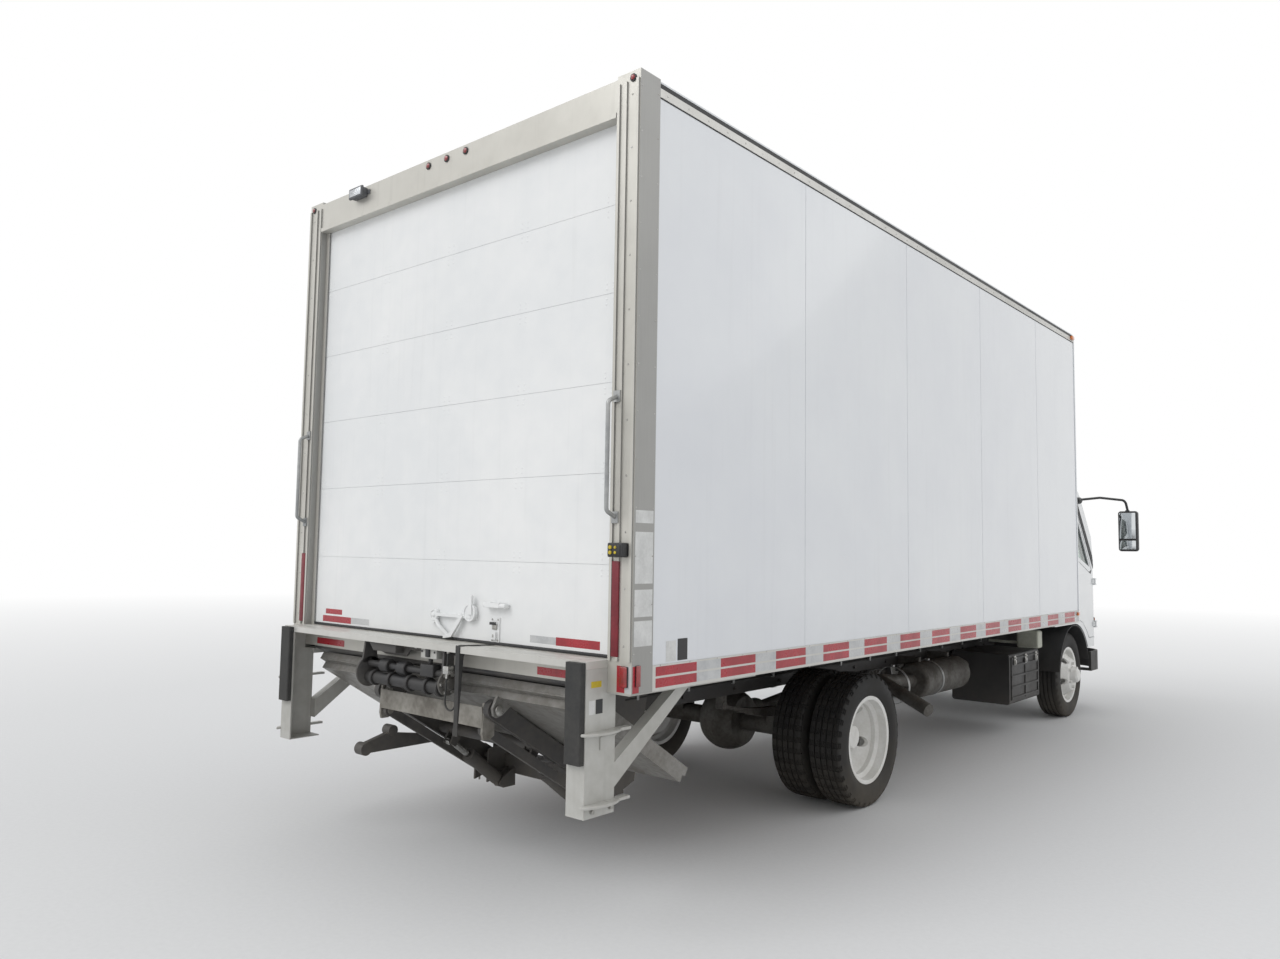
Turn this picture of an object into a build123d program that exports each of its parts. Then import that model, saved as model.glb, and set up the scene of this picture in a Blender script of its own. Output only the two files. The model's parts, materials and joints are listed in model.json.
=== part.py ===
from build123d import *
import math
import os

# A low-cab-forward box truck with a roll-up rear door and a tuck-under liftgate.
# All sizes are in millimetres. The ground is z = 0, +Z is up, the front of the truck
# faces -Y and +X is the truck's left side. Places along the truck are given as
# stations: the distance ahead of the load body's rear plane.

# Driving dimensions of the whole vehicle
BODY_LENGTH = 6100.0
BODY_WIDTH = 2590.0
BODY_TOP = 3535.0
FLOOR_TOP = 1090.0
REAR_AXLE_STATION = 2520.0
CAB_REAR_STATION = BODY_LENGTH + 140.0
WHEELBASE = CAB_REAR_STATION + 620.0 - REAR_AXLE_STATION
FRONT_OVERHANG = 1070.0
EXTENSION_DEPTH = 125.0
PAD_THICKNESS = 25.0

# Running clearances
SEAT_GAP = 0.3
PANEL_GAP = 5.0
PIN_GAP = 0.3

# Load body sections
RAIL_BOTTOM = 962.0
RAIL_HEIGHT = 105.0
TOP_RAIL_HEIGHT = 60.0
WALL_THICKNESS = 30.0
WALL_INSET = 5.0
RAIL_DEPTH = WALL_THICKNESS + WALL_INSET
ROOF_THICKNESS = 22.0
CORNER_POST = 60.0
CORNER_RADIUS = 45.0
FLOOR_THICKNESS = 30.0
CROSS_MEMBER_HEIGHT = 85.0
CROSS_MEMBER_WIDTH = 45.0
CROSS_MEMBER_PITCH = 406.0
SECTION_WALL = 6.0
LONG_SILL_WIDTH = 60.0
LONG_SILL_START = 350.0

# Rear frame, door and fittings
POST_WIDTH = 130.0
POST_DEPTH = 130.0
POST_TOP = BODY_TOP + 17.0
HEADER_BOTTOM = BODY_TOP - 164.0
SILL_BOTTOM = 980.0
POST_WALL = 6.0
POST_RIB_DEPTH = 8.0
DOOR_SETBACK = 45.0
DOOR_THICKNESS = 24.0
DOOR_SECTIONS = 6
DOOR_EDGE_LIP = 28.0
DOOR_SEAM_WIDTH = 2.0
DOOR_SEAM_DEPTH = 3.0
EXTENSION_THICKNESS = 30.0
EXTENSION_HALF_WIDTH = 1165.0
BRACKET_WIDTH = 100.0
BRACKET_BOTTOM = 475.0
BRACKET_FRONT = 52.0
BRACKET_WALL = 8.0
BRACE_SIZE = 55.0
BRACE_TOP_STATION = 560.0
LIP_LENGTH = 900.0
PAD_WIDTH = 92.0
PAD_BOTTOM = 685.0
HANDLE_X = 1200.0
HANDLE_LOW = 1670.0
HANDLE_HIGH = 2170.0
HANDLE_STANDOFF = 55.0
HANDLE_RADIUS = 9.0

# Chassis
FRAME_HALF_WIDTH = 425.0
FRAME_TOP = 870.0
FRAME_HEIGHT = 205.0
FRAME_FLANGE = 60.0
FRAME_WALL = 7.0
FRAME_REAR_STATION = 830.0
FRAME_FRONT_STATION = CAB_REAR_STATION + 1450.0

# Wheels and axles
TYRE_RADIUS = 400.0
TYRE_WIDTH = 226.0
RIM_RADIUS = 264.0
RIM_SEAT_RADIUS = 249.0
RIM_WELL_RADIUS = 224.0
RIM_WIDTH = 190.0
DISC_THICKNESS = 11.0
WHEEL_OFFSET = 130.0
HAND_HOLES = 5
HAND_HOLE_RADIUS = 32.0
HAND_HOLE_CIRCLE = 176.0
STUD_CIRCLE = 222.25
HUB_BORE = 82.0
STUDS = 6
FRONT_WHEEL_X = 865.0
REAR_PAIR_X = 825.0
KINGPIN_X = 735.0
KINGPIN_RADIUS = 17.0
SPINDLE_RADIUS = 30.0
STEERING_ARM = 150.0
STEERING_RANGE = 36.0
SPRING_X = 395.0
PINION_REACH = 330.0
AXLE_TUBE_RADIUS = 62.0
SPRING_WIDTH = 60.0

# Cab
CAB_HALF_WIDTH = 1030.0
CAB_ROOF = 2295.0
CAB_WALL = 45.0
CAB_FLOOR = 960.0
FOOTWELL_STATION = CAB_REAR_STATION + 1160.0
FOOTWELL_FLOOR = 775.0
CAB_LOWER_EDGE = 640.0
CAB_BELT = 1370.0
CAB_NOSE_STATION = CAB_REAR_STATION + 1655.0
ARCH_RADIUS = 492.0
TUNNEL_HALF_WIDTH = 470.0
TUNNEL_TOP = 1180.0
TUNNEL_WALL = 30.0
TUNNEL_FRONT_STATION = CAB_REAR_STATION + 1500.0
TILT_STATION = CAB_REAR_STATION + 1530.0
TILT_HEIGHT = 640.0
TILT_PLATE = 9.0
TILT_PIN_RADIUS = 18.0
DOOR_HINGE_X = 1042.0
DOOR_HINGE_STATION = CAB_REAR_STATION + 1283.0
DOOR_HINGE_HEIGHTS = (860.0, 1290.0)
HINGE_HALF = 20.0
HINGE_PIN_RADIUS = 5.0
GLASS_THICKNESS = 6.0
GLASS_INSET = 14.0
DOOR_EASE = 10.0
WINDSHIELD_TOP = CAB_ROOF - 150.0
PAN_SEAM = 780.0
BUMPER_BOTTOM = 400.0
BUMPER_TOP = 590.0

# Tuck-under liftgate
GATE_PIVOT_STATION = 720.0
GATE_PIVOT_HEIGHT = 370.0
GATE_HINGE_STATION = 30.0
GATE_HINGE_HEIGHT = 800.0
GATE_ARM_X = 430.0
GATE_ARM_DEPTH = 86.0
GATE_ARM_WIDTH = 36.0
GATE_LINK_X = 375.0
GATE_LINK_DROP = 100.0
GATE_LINK_WIDTH = 24.0
GATE_LINK_DEPTH = 46.0
GATE_PIN_RADIUS = 16.0
PACK_HALF_WIDTH = 1030.0
PACK_LENGTH = 800.0
PACK_MAIN_THICKNESS = 42.0
PACK_FLIP_THICKNESS = 36.0
PACK_LIFT = 50.0
PACK_OVERHANG = 66.0
GATE_EAR_OUTER = 466.0
GATE_EAR_INNER = 345.0
SHACKLE_X = 399.5
SHACKLE_WIDTH = 13.0
OPENER_X = 505.0
OPENER_ROLLERS = ((-30.0, 495.0, 32.0), (130.0, 570.0, 28.0))
CYLINDER_X = 300.0
CYLINDER_BASE = (730.0, 235.0)
CYLINDER_REACH = 366.0
CYLINDER_DROP = -64.0
CYLINDER_PIN_RADIUS = 12.0
CYLINDER_EYE_WIDTH = 28.0
BARREL_RADIUS = 36.0
ROD_RADIUS = 18.0
EYE_DRIFT = 1.8

# Derived places
OVERALL_LENGTH = REAR_AXLE_STATION + WHEELBASE + FRONT_OVERHANG + EXTENSION_DEPTH + PAD_THICKNESS
REAR_PLANE_Y = OVERALL_LENGTH / 2 - EXTENSION_DEPTH - PAD_THICKNESS
FRONT_AXLE_STATION = REAR_AXLE_STATION + WHEELBASE
BUMPER_STATION = FRONT_AXLE_STATION + FRONT_OVERHANG
HALF_WIDTH = BODY_WIDTH / 2
RAIL_TOP = RAIL_BOTTOM + RAIL_HEIGHT
FRAME_BOTTOM = FRAME_TOP - FRAME_HEIGHT
MEMBER_BOTTOM = FRAME_BOTTOM + FRAME_WALL + 1
CROSS_MEMBER_BOTTOM = FLOOR_TOP - FLOOR_THICKNESS - CROSS_MEMBER_HEIGHT
POST_INNER = HALF_WIDTH - POST_WIDTH
GATE_ANGLE = math.degrees(
    math.atan2(GATE_HINGE_HEIGHT - GATE_PIVOT_HEIGHT, GATE_PIVOT_STATION - GATE_HINGE_STATION)
)
ARM_LENGTH = math.hypot(GATE_PIVOT_STATION - GATE_HINGE_STATION, GATE_HINGE_HEIGHT - GATE_PIVOT_HEIGHT)
CAB_BOTTOM = TYRE_RADIUS + ARCH_RADIUS
FRONT_BEAM_TOP = TYRE_RADIUS + 10
REAR_TUBE_TOP = TYRE_RADIUS + 78


def at(station):
    """The y coordinate of a station."""
    return REAR_PLANE_Y - station


def ahead(distance):
    """The station a distance ahead of the cab's rear wall."""
    return CAB_REAR_STATION + distance


def block(x0, x1, s0, s1, z0, z1):
    """A box between two x values, two stations and two heights."""
    return Pos((x0 + x1) / 2, at((s0 + s1) / 2), (z0 + z1) / 2) * Box(
        abs(x1 - x0), abs(s1 - s0), abs(z1 - z0)
    )


def side_outline(points):
    """A closed face of straight edges in the side view, from (station, height) points."""
    return make_face(Polyline([(0, at(s), z) for s, z in points], close=True))


def side_prism(points, x0, x1):
    """A side-view outline run across the truck from x0 to x1."""
    return Pos(min(x0, x1), 0, 0) * extrude(side_outline(points), amount=abs(x1 - x0), dir=(1, 0, 0))


def front_prism(points, s0, s1):
    """A front-view outline of (x, height) points run along the truck between stations."""
    face = make_face(Polyline([(x, 0, z) for x, z in points], close=True))
    return Pos(0, at(max(s0, s1)), 0) * extrude(face, amount=abs(s1 - s0), dir=(0, 1, 0))


def rounded_front_prism(x0, x1, z0, z1, radius, s0, s1):
    """A rounded rectangle in the front view run along the truck between stations."""
    flat = Plane(origin=((x0 + x1) / 2, at(min(s0, s1)), (z0 + z1) / 2), x_dir=(1, 0, 0), z_dir=(0, -1, 0))
    return extrude(flat * RectangleRounded(abs(x1 - x0), abs(z1 - z0), radius), amount=abs(s1 - s0))


def bar_x(radius, station, z, x0, x1):
    """A round bar lying across the truck."""
    return Pos((x0 + x1) / 2, at(station), z) * Rot(0, 90, 0) * Cylinder(radius, abs(x1 - x0))


def bar_z(radius, x, station, z0, z1):
    """An upright round bar."""
    return Pos(x, at(station), (z0 + z1) / 2) * Cylinder(radius, abs(z1 - z0))


def rod(start, end, radius):
    """A round bar between two (x, station, z) points."""
    a = Vector(start[0], at(start[1]), start[2])
    b = Vector(end[0], at(end[1]), end[2])
    return Plane(origin=a, z_dir=b - a) * Cylinder(
        radius, (b - a).length, align=(Align.CENTER, Align.CENTER, Align.MIN)
    )


def both_sides(shape):
    """The shape with its mirror image on the truck's other side."""
    return [shape, mirror(shape, about=Plane.YZ)]


def fuse(parts):
    """One shape from a list of pieces that touch or overlap."""
    parts = list(parts)
    return parts[0].fuse(*parts[1:]) if len(parts) > 1 else parts[0]


def save(name, shape):
    """Writes one node, keeping separate solids apart."""
    shapes = shape if isinstance(shape, (list, tuple)) else [shape]
    solids = [solid for item in shapes for solid in item.solids()]
    export_step(Compound(children=solids) if len(solids) > 1 else solids[0], f"parts/{name}.step")


# Load body
def cargo_floor():
    """The deck boards between the lower rails."""
    half = HALF_WIDTH - RAIL_DEPTH - SEAT_GAP
    return block(
        -half, half, POST_DEPTH + SEAT_GAP, BODY_LENGTH - RAIL_DEPTH - SEAT_GAP,
        FLOOR_TOP - FLOOR_THICKNESS, FLOOR_TOP,
    )


def cross_members():
    """Channel cross members standing on two long sills."""
    top = FLOOR_TOP - FLOOR_THICKNESS
    half = HALF_WIDTH - RAIL_DEPTH - SEAT_GAP
    channel_height = top - CROSS_MEMBER_BOTTOM
    first = POST_DEPTH + CROSS_MEMBER_WIDTH
    count = int((BODY_LENGTH - first - CROSS_MEMBER_WIDTH) // CROSS_MEMBER_PITCH) + 1
    parts = []
    for index in range(count):
        s = first + index * CROSS_MEMBER_PITCH
        parts.append(
            block(
                -half, half, s, s + CROSS_MEMBER_WIDTH, CROSS_MEMBER_BOTTOM,
                CROSS_MEMBER_BOTTOM + channel_height
            )
            - block(
                -half - 1, half + 1, s + SECTION_WALL, s + CROSS_MEMBER_WIDTH + 1,
                CROSS_MEMBER_BOTTOM + SECTION_WALL, top - SECTION_WALL,
            )
        )
    sill_end = BODY_LENGTH - CORNER_POST
    sill = side_prism(
        [
            (LONG_SILL_START, CROSS_MEMBER_BOTTOM),
            (LONG_SILL_START + 120, FRAME_TOP),
            (sill_end, FRAME_TOP),
            (sill_end, CROSS_MEMBER_BOTTOM),
        ],
        FRAME_HALF_WIDTH - LONG_SILL_WIDTH, FRAME_HALF_WIDTH,
    )
    return fuse(parts + both_sides(sill))


def side_wall():
    """The left side wall panel."""
    outer = HALF_WIDTH - WALL_INSET
    return block(
        outer - WALL_THICKNESS, outer, POST_DEPTH + SEAT_GAP, BODY_LENGTH - CORNER_POST - SEAT_GAP,
        RAIL_TOP + SEAT_GAP, BODY_TOP - TOP_RAIL_HEIGHT - SEAT_GAP,
    )


def front_wall():
    """The front bulkhead panel between the corner posts."""
    half = HALF_WIDTH - CORNER_POST - SEAT_GAP
    return block(
        -half, half, BODY_LENGTH - WALL_THICKNESS - WALL_INSET, BODY_LENGTH - WALL_INSET,
        RAIL_TOP + SEAT_GAP, BODY_TOP - TOP_RAIL_HEIGHT - SEAT_GAP,
    )


def roof_panel():
    """The roof skin, sitting on the top rails."""
    half = HALF_WIDTH - RAIL_DEPTH / 2
    return block(
        -half, half, POST_DEPTH + SEAT_GAP, BODY_LENGTH - RAIL_DEPTH / 2,
        BODY_TOP, BODY_TOP + ROOF_THICKNESS,
    ) - block(
        -HALF_WIDTH + 2 * RAIL_DEPTH, HALF_WIDTH - 2 * RAIL_DEPTH, POST_DEPTH - 1,
        BODY_LENGTH - 2 * RAIL_DEPTH, BODY_TOP - 1, BODY_TOP + ROOF_THICKNESS / 3,
    )


def perimeter_rail(z0, z1):
    """A rail that runs up both sides and round the front at one height."""
    outline = [
        block(
            HALF_WIDTH - RAIL_DEPTH, HALF_WIDTH, POST_DEPTH + SEAT_GAP,
            BODY_LENGTH - CORNER_POST - SEAT_GAP, z0, z1
        ),
    ]
    half = HALF_WIDTH - CORNER_POST - SEAT_GAP
    front = block(-half, half, BODY_LENGTH - RAIL_DEPTH, BODY_LENGTH, z0, z1)
    return both_sides(outline[0]) + [front]


def front_post():
    """The left front corner post with its rounded outer edge."""
    post = block(
        HALF_WIDTH - CORNER_POST, HALF_WIDTH, BODY_LENGTH - CORNER_POST, BODY_LENGTH, RAIL_BOTTOM,
        BODY_TOP - SEAT_GAP
    )
    corner = post.edges().filter_by(Axis.Z).sort_by(lambda e: e.center().X - e.center().Y)[-1]
    return fillet(corner, CORNER_RADIUS) - block(
        HALF_WIDTH - CORNER_POST - 1, HALF_WIDTH - RAIL_DEPTH + 10, BODY_LENGTH - CORNER_POST - 1,
        BODY_LENGTH - RAIL_DEPTH + 10, RAIL_BOTTOM - 1, BODY_TOP,
    )


def rear_frame():
    """Hollow rear posts with ribbed faces, header and sill, welded as one frame."""
    post = block(POST_INNER, HALF_WIDTH, 0, POST_DEPTH, RAIL_BOTTOM, POST_TOP) - block(
        POST_INNER + POST_WALL, HALF_WIDTH - POST_WALL, POST_WALL, POST_DEPTH - POST_WALL,
        RAIL_BOTTOM - 1, POST_TOP - POST_WALL,
    )
    ribs = [
        block(x - 7, x + 7, -POST_RIB_DEPTH, 1, FLOOR_TOP, POST_TOP - 40)
        for x in (POST_INNER + 12, POST_INNER + 52, HALF_WIDTH - 12)
    ]
    lip = block(
        POST_INNER - DOOR_EDGE_LIP, POST_INNER + 1, DOOR_SETBACK - PANEL_GAP - 6, DOOR_SETBACK - PANEL_GAP,
        FLOOR_TOP, HEADER_BOTTOM + 1,
    )
    side = fuse([post, lip] + ribs)
    header = block(-POST_INNER - 1, POST_INNER + 1, 0, POST_DEPTH, HEADER_BOTTOM, POST_TOP - 14) - block(
        -POST_INNER - 2, POST_INNER + 2, POST_WALL, POST_DEPTH - POST_WALL,
        HEADER_BOTTOM + POST_WALL, POST_TOP - 14 - POST_WALL,
    )
    header_bead = block(-POST_INNER, POST_INNER, -POST_RIB_DEPTH, 1, HEADER_BOTTOM, HEADER_BOTTOM + 22)
    sill = block(-POST_INNER - 1, POST_INNER + 1, 0, POST_DEPTH, SILL_BOTTOM, FLOOR_TOP) - block(
        -POST_INNER - 2, POST_INNER + 2, POST_WALL, POST_DEPTH + 1, SILL_BOTTOM + POST_WALL,
        FLOOR_TOP - POST_WALL
    )
    return fuse(both_sides(side) + [header, header_bead, sill])


def roll_up_door():
    """Door sections hinged edge to edge, with a seam groove between neighbours."""
    half = POST_INNER - PANEL_GAP
    low = FLOOR_TOP + SEAT_GAP
    high = HEADER_BOTTOM + 30
    slab = block(-half, half, DOOR_SETBACK, DOOR_SETBACK + DOOR_THICKNESS, low, HEADER_BOTTOM - SEAT_GAP)
    pitch = (high - low) / DOOR_SECTIONS
    for index in range(1, DOOR_SECTIONS):
        z = low + index * pitch
        slab -= block(
            -half - 1, half + 1, DOOR_SETBACK - 1, DOOR_SETBACK + DOOR_SEAM_DEPTH,
            z - DOOR_SEAM_WIDTH / 2, z + DOOR_SEAM_WIDTH / 2,
        )
    return slab


def door_hardware():
    """The slide latch with its lever, and the pull handle over its hasp and strike."""
    face = DOOR_SETBACK - SEAT_GAP

    def disc(x, z, radius, reach):
        return Pos(x, at(face - reach / 2), z) * Rot(90, 0, 0) * Cylinder(radius, reach)

    latch = fuse(
        [
            block(-285, 55, face - 4, face, 1196, 1222),
            disc(30, 1192, 27, 20),
            disc(-252, 1230, 30, 22),
            block(-262, 40, face - 24, face - 3, 1202, 1216),
            block(-274, -252, face - 30, face - 18, 1222, 1312),
            front_prism(
                [(-212, 1212), (-190, 1222), (-118, 1128), (-66, 1112), (-66, 1098), (-126, 1108)],
                face - 30, face - 16
            ),
        ]
    )
    pull = fuse(
        [
            block(-450, -392, face - 6, face, 1104, 1216),
            block(-436, -404, face - 18, face - 5, 1116, 1150),
        ]
    )
    handle = fuse(
        [
            block(-478, -378, face - 38, face - 26, 1264, 1286),
            block(-478, -462, face - 30, face, 1264, 1286),
            block(-394, -378, face - 30, face, 1264, 1286),
        ]
    )
    return [latch, pull, handle]


def grab_handle():
    """The left grab handle, a bent bar standing off the post."""
    start = -POST_RIB_DEPTH - SEAT_GAP
    off = start - HANDLE_STANDOFF
    path = FilletPolyline(
        (HANDLE_X, at(start), HANDLE_LOW), (HANDLE_X, at(off), HANDLE_LOW + 25),
        (HANDLE_X, at(off), HANDLE_HIGH - 25), (HANDLE_X, at(start), HANDLE_HIGH),
        radius=22,
    )
    section = Plane(origin=path @ 0, z_dir=path % 0) * Circle(HANDLE_RADIUS)
    bar = sweep(section, path=path)
    feet = [
        block(HANDLE_X - 18, HANDLE_X + 18, start - 5, start, z - 24, z + 24) for z in (HANDLE_LOW, HANDLE_HIGH)
    ]
    return fuse([bar] + feet)


def rear_lamps():
    """Tail, side and marker lamps, the load lamp and the liftgate switch box."""
    face = -SEAT_GAP
    lamps = []
    for side in (-1, 1):
        x = side * (HALF_WIDTH - 36)
        lamps.append(block(x - 22, x + 22, face - 14, face, 985, 1075))
        outer = side * (HALF_WIDTH + SEAT_GAP)
        lamps.append(block(outer, outer + side * 8, 20, 52, 988, 1078))
        lamps.append(
            Pos(side * (HALF_WIDTH - 40), at(face - 6), POST_TOP - 32) * Rot(90, 0, 0) * Cylinder(12, 12)
        )
    for x in (-150, 0, 150):
        lamps.append(Pos(x, at(face - 6), POST_TOP - 47) * Rot(90, 0, 0) * Cylinder(14, 12))
    lamps.append(block(700, 820, face - 45, face, POST_TOP - 82, POST_TOP - 22))
    return lamps


def bed_extension():
    """The plate behind the door with its formed edge and gussets."""
    top = FLOOR_TOP
    plate = block(
        -EXTENSION_HALF_WIDTH, EXTENSION_HALF_WIDTH, -EXTENSION_DEPTH, -SEAT_GAP, top - EXTENSION_THICKNESS,
        top
    )
    hollow = block(
        -EXTENSION_HALF_WIDTH + BRACKET_WIDTH + 12, EXTENSION_HALF_WIDTH - BRACKET_WIDTH - 12,
        -EXTENSION_DEPTH + 10, -6, top - EXTENSION_THICKNESS - 1, top - 10,
    )
    return plate - hollow


def corner_bracket():
    """The left corner channel with its step lugs, brace and the sill lip."""
    x1 = EXTENSION_HALF_WIDTH
    x0 = x1 - BRACKET_WIDTH
    top = FLOOR_TOP - EXTENSION_THICKNESS - SEAT_GAP
    rear = -EXTENSION_DEPTH
    post = block(x0, x1, rear, BRACKET_FRONT, BRACKET_BOTTOM, top) - block(
        x0 - 1, x1 - BRACKET_WALL, rear + BRACKET_WALL, BRACKET_FRONT + 1, BRACKET_BOTTOM - 1, top + 1
    )
    # the post is cut back where it passes below the hollow rear post and sill
    post -= block(x0 - 1, x1 + 1, -SEAT_GAP, BRACKET_FRONT + 1, RAIL_BOTTOM - SEAT_GAP, top + 1)
    lugs = [
        block(x1 - BRACKET_WALL, x1 + 22, BRACKET_FRONT - 60, BRACKET_FRONT + 75, z, z + 12) for z in (520, 800)
    ]
    lip_z = RAIL_BOTTOM - SEAT_GAP
    brace_top = lip_z - 20
    brace = side_prism(
        [
            (BRACKET_FRONT - 5, 570), (BRACKET_FRONT - 5, 670),
            (BRACE_TOP_STATION - 90, brace_top), (BRACE_TOP_STATION, brace_top),
        ],
        x1 - BRACE_SIZE, x1,
    )
    lip = block(x0, HALF_WIDTH - 8, -SEAT_GAP, LIP_LENGTH, lip_z - 6, lip_z)
    lip_web = block(x0, x0 + 8, -SEAT_GAP, LIP_LENGTH, lip_z - 26, lip_z)
    web_foot = block(x0, x1, BRACE_TOP_STATION - 100, BRACE_TOP_STATION + 10, lip_z - 26, lip_z - 5)
    return fuse([post, brace, lip, lip_web, web_foot] + lugs)


def bumper_pad():
    """The left rubber pad on the corner bracket's rear face."""
    x_mid = EXTENSION_HALF_WIDTH - BRACKET_WIDTH / 2
    rear = -EXTENSION_DEPTH
    pad = block(
        x_mid - PAD_WIDTH / 2, x_mid + PAD_WIDTH / 2, rear - PAD_THICKNESS, rear - SEAT_GAP, PAD_BOTTOM,
        FLOOR_TOP - 4
    )
    return fillet(pad.edges().filter_by(Axis.Z).group_by(Axis.Y)[-1], 8)


# Chassis
def chassis_frame():
    """Two channel rails joined by cross members."""
    z0, z1 = FRAME_BOTTOM, FRAME_TOP - SEAT_GAP
    outer, inner = FRAME_HALF_WIDTH, FRAME_HALF_WIDTH - FRAME_FLANGE
    rail = front_prism(
        [
            (inner, z0), (outer, z0), (outer, z1), (inner, z1), (inner, z1 - FRAME_WALL),
            (outer - FRAME_WALL, z1 - FRAME_WALL), (outer - FRAME_WALL, z0 + FRAME_WALL),
            (inner, z0 + FRAME_WALL),
        ],
        FRAME_REAR_STATION, FRAME_FRONT_STATION,
    )
    reach = outer - FRAME_WALL / 2
    members = []
    for s in (980, 1900, 3150, 4400, 5500, FRAME_FRONT_STATION - 90):
        members.append(
            block(-reach, reach, s - 30, s + 30, MEMBER_BOTTOM, z1 - FRAME_WALL - 1)
            - block(-reach + 12, reach - 12, s - 22, s + 31, MEMBER_BOTTOM + 8, z1 - FRAME_WALL - 9)
        )
    return fuse(both_sides(rail) + members)


def leaf_pack(station, z_seat, half_length, rise, leaves, x):
    """Curved leaves stacked on an axle, shorter towards the bottom, with end hangers."""
    parts = []
    leaf = 11.0
    for index in range(leaves):
        reach = half_length * (1 - 0.16 * index)
        drop = rise * (reach / half_length) ** 2
        z = z_seat + leaf * (leaves - 1 - index)
        low = ThreePointArc(
            (0, at(station - reach), z + drop), (0, at(station), z), (0, at(station + reach), z + drop)
        )
        high = ThreePointArc(
            (0, at(station + reach), z + drop + leaf), (0, at(station), z + leaf),
            (0, at(station - reach), z + drop + leaf)
        )
        face = make_face([low, Line(low @ 1, high @ 0), high, Line(high @ 1, low @ 0)])
        parts.append(Pos(x - SPRING_WIDTH / 2, 0, 0) * extrude(face, amount=SPRING_WIDTH, dir=(1, 0, 0)))
    z_eye = z_seat + leaf * (leaves - 1) + rise + leaf / 2
    for end in (-1, 1):
        s = station + end * (half_length - 4)
        parts.append(bar_x(24, s, z_eye, x - SPRING_WIDTH / 2, x + SPRING_WIDTH / 2))
        parts.append(
            block(x - 22, x + 22, s - 26, s + 26, z_eye, FRAME_BOTTOM - SEAT_GAP)
        )
    for s in (station - 55, station + 55):
        parts.append(block(x - 40, x + 40, s - 9, s + 9, z_seat, z_seat + leaf * leaves + 22))
    return fuse(parts)


def leaf_springs():
    """Front and rear leaf packs on both sides."""
    front = leaf_pack(FRONT_AXLE_STATION, FRONT_BEAM_TOP + SEAT_GAP, 600, 80, 3, SPRING_X)
    rear = leaf_pack(REAR_AXLE_STATION, REAR_TUBE_TOP + SEAT_GAP, 650, 78, 5, SPRING_X)
    return both_sides(front) + both_sides(rear)


def front_axle():
    """The dropped beam with an eye for each kingpin."""
    z = TYRE_RADIUS
    beam = front_prism(
        [
            (-KINGPIN_X + 45, z - 38), (-KINGPIN_X + 120, z - 38), (-SPRING_X - 60, FRONT_BEAM_TOP - 95),
            (SPRING_X + 60, FRONT_BEAM_TOP - 95), (KINGPIN_X - 120, z - 38), (KINGPIN_X - 45, z - 38),
            (KINGPIN_X - 45, z + 38), (KINGPIN_X - 130, z + 38), (SPRING_X + 70, FRONT_BEAM_TOP),
            (-SPRING_X - 70, FRONT_BEAM_TOP), (-KINGPIN_X + 130, z + 38), (-KINGPIN_X + 45, z + 38),
        ],
        FRONT_AXLE_STATION - 42, FRONT_AXLE_STATION + 42,
    )
    for face in (-1, 1):
        s = FRONT_AXLE_STATION + face * 42
        beam -= block(-SPRING_X - 40, SPRING_X + 40, s - 26, s + 26, FRONT_BEAM_TOP - 80, FRONT_BEAM_TOP - 16)
    parts = [beam]
    for side in (-1, 1):
        parts.append(bar_z(46, side * KINGPIN_X, FRONT_AXLE_STATION, z - 40, z + 40))
    axle = fuse(parts)
    for side in (-1, 1):
        axle -= bar_z(KINGPIN_RADIUS + PIN_GAP, side * KINGPIN_X, FRONT_AXLE_STATION, z - 60, z + 60)
    return axle


def knuckle():
    """The left steering knuckle: fork, kingpin, spindle and steering arm."""
    z = TYRE_RADIUS
    x = KINGPIN_X
    s = FRONT_AXLE_STATION
    cheek = 41.0
    fork = [
        block(x - 44, x + 70, s - 40, s + 40, z + cheek, z + cheek + 30),
        block(x - 44, x + 70, s - 40, s + 40, z - cheek - 30, z - cheek),
        block(x + 54, x + 76, s - 62, s + 62, z - cheek - 30, z + cheek + 30),
        bar_z(KINGPIN_RADIUS, x, s, z - cheek - 36, z + cheek + 36),
        bar_x(SPINDLE_RADIUS, s, z, x + 70, FRONT_WHEEL_X + WHEEL_OFFSET - 36),
        bar_x(88, s, z, x + 70, x + 80),
    ]
    arm = side_prism(
        [(s - 30, z - 71), (s - STEERING_ARM - 24, z - 71), (s - STEERING_ARM - 24, z - 49), (s - 30, z - 42)],
        x - 22, x + 22,
    )
    ball = bar_z(12, x, s - STEERING_ARM, z - 110, z - 49)
    return fuse(fork + [arm, ball])


def tie_rod():
    """The rod that joins the two steering arms behind the axle."""
    z = TYRE_RADIUS - 96
    s = FRONT_AXLE_STATION - STEERING_ARM
    parts = [bar_x(14, s, z, -KINGPIN_X + 20, KINGPIN_X - 20)]
    for side in (-1, 1):
        x = side * KINGPIN_X
        parts.append(bar_z(25, x, s, z - 18, z + 18))
    shape = fuse(parts)
    for side in (-1, 1):
        shape -= bar_z(12 + PIN_GAP, side * KINGPIN_X, s, z - 40, z + 40)
    return shape


def wheel_section(points):
    """A half section in (axial, radial) points turned about the X axis."""
    return revolve(
        make_face(Polyline([(a, 0, r) for a, r in points], close=True)), axis=Axis.X, revolution_arc=360
    )


def tyre(x, station):
    """One tyre, centred on x."""
    half = TYRE_WIDTH / 2
    flange = RIM_WIDTH / 2
    profile = [
        (flange - 9 - SEAT_GAP, RIM_SEAT_RADIUS + SEAT_GAP), (flange - 5 - SEAT_GAP, RIM_RADIUS + SEAT_GAP),
        (flange + 1, RIM_RADIUS + SEAT_GAP), (half, TYRE_RADIUS - 82), (half - 14, TYRE_RADIUS - 14),
        (half - 36, TYRE_RADIUS),
    ]
    ring = wheel_section(profile + [(-a, r) for a, r in reversed(profile)])
    return Pos(x, at(station), TYRE_RADIUS) * ring


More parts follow.
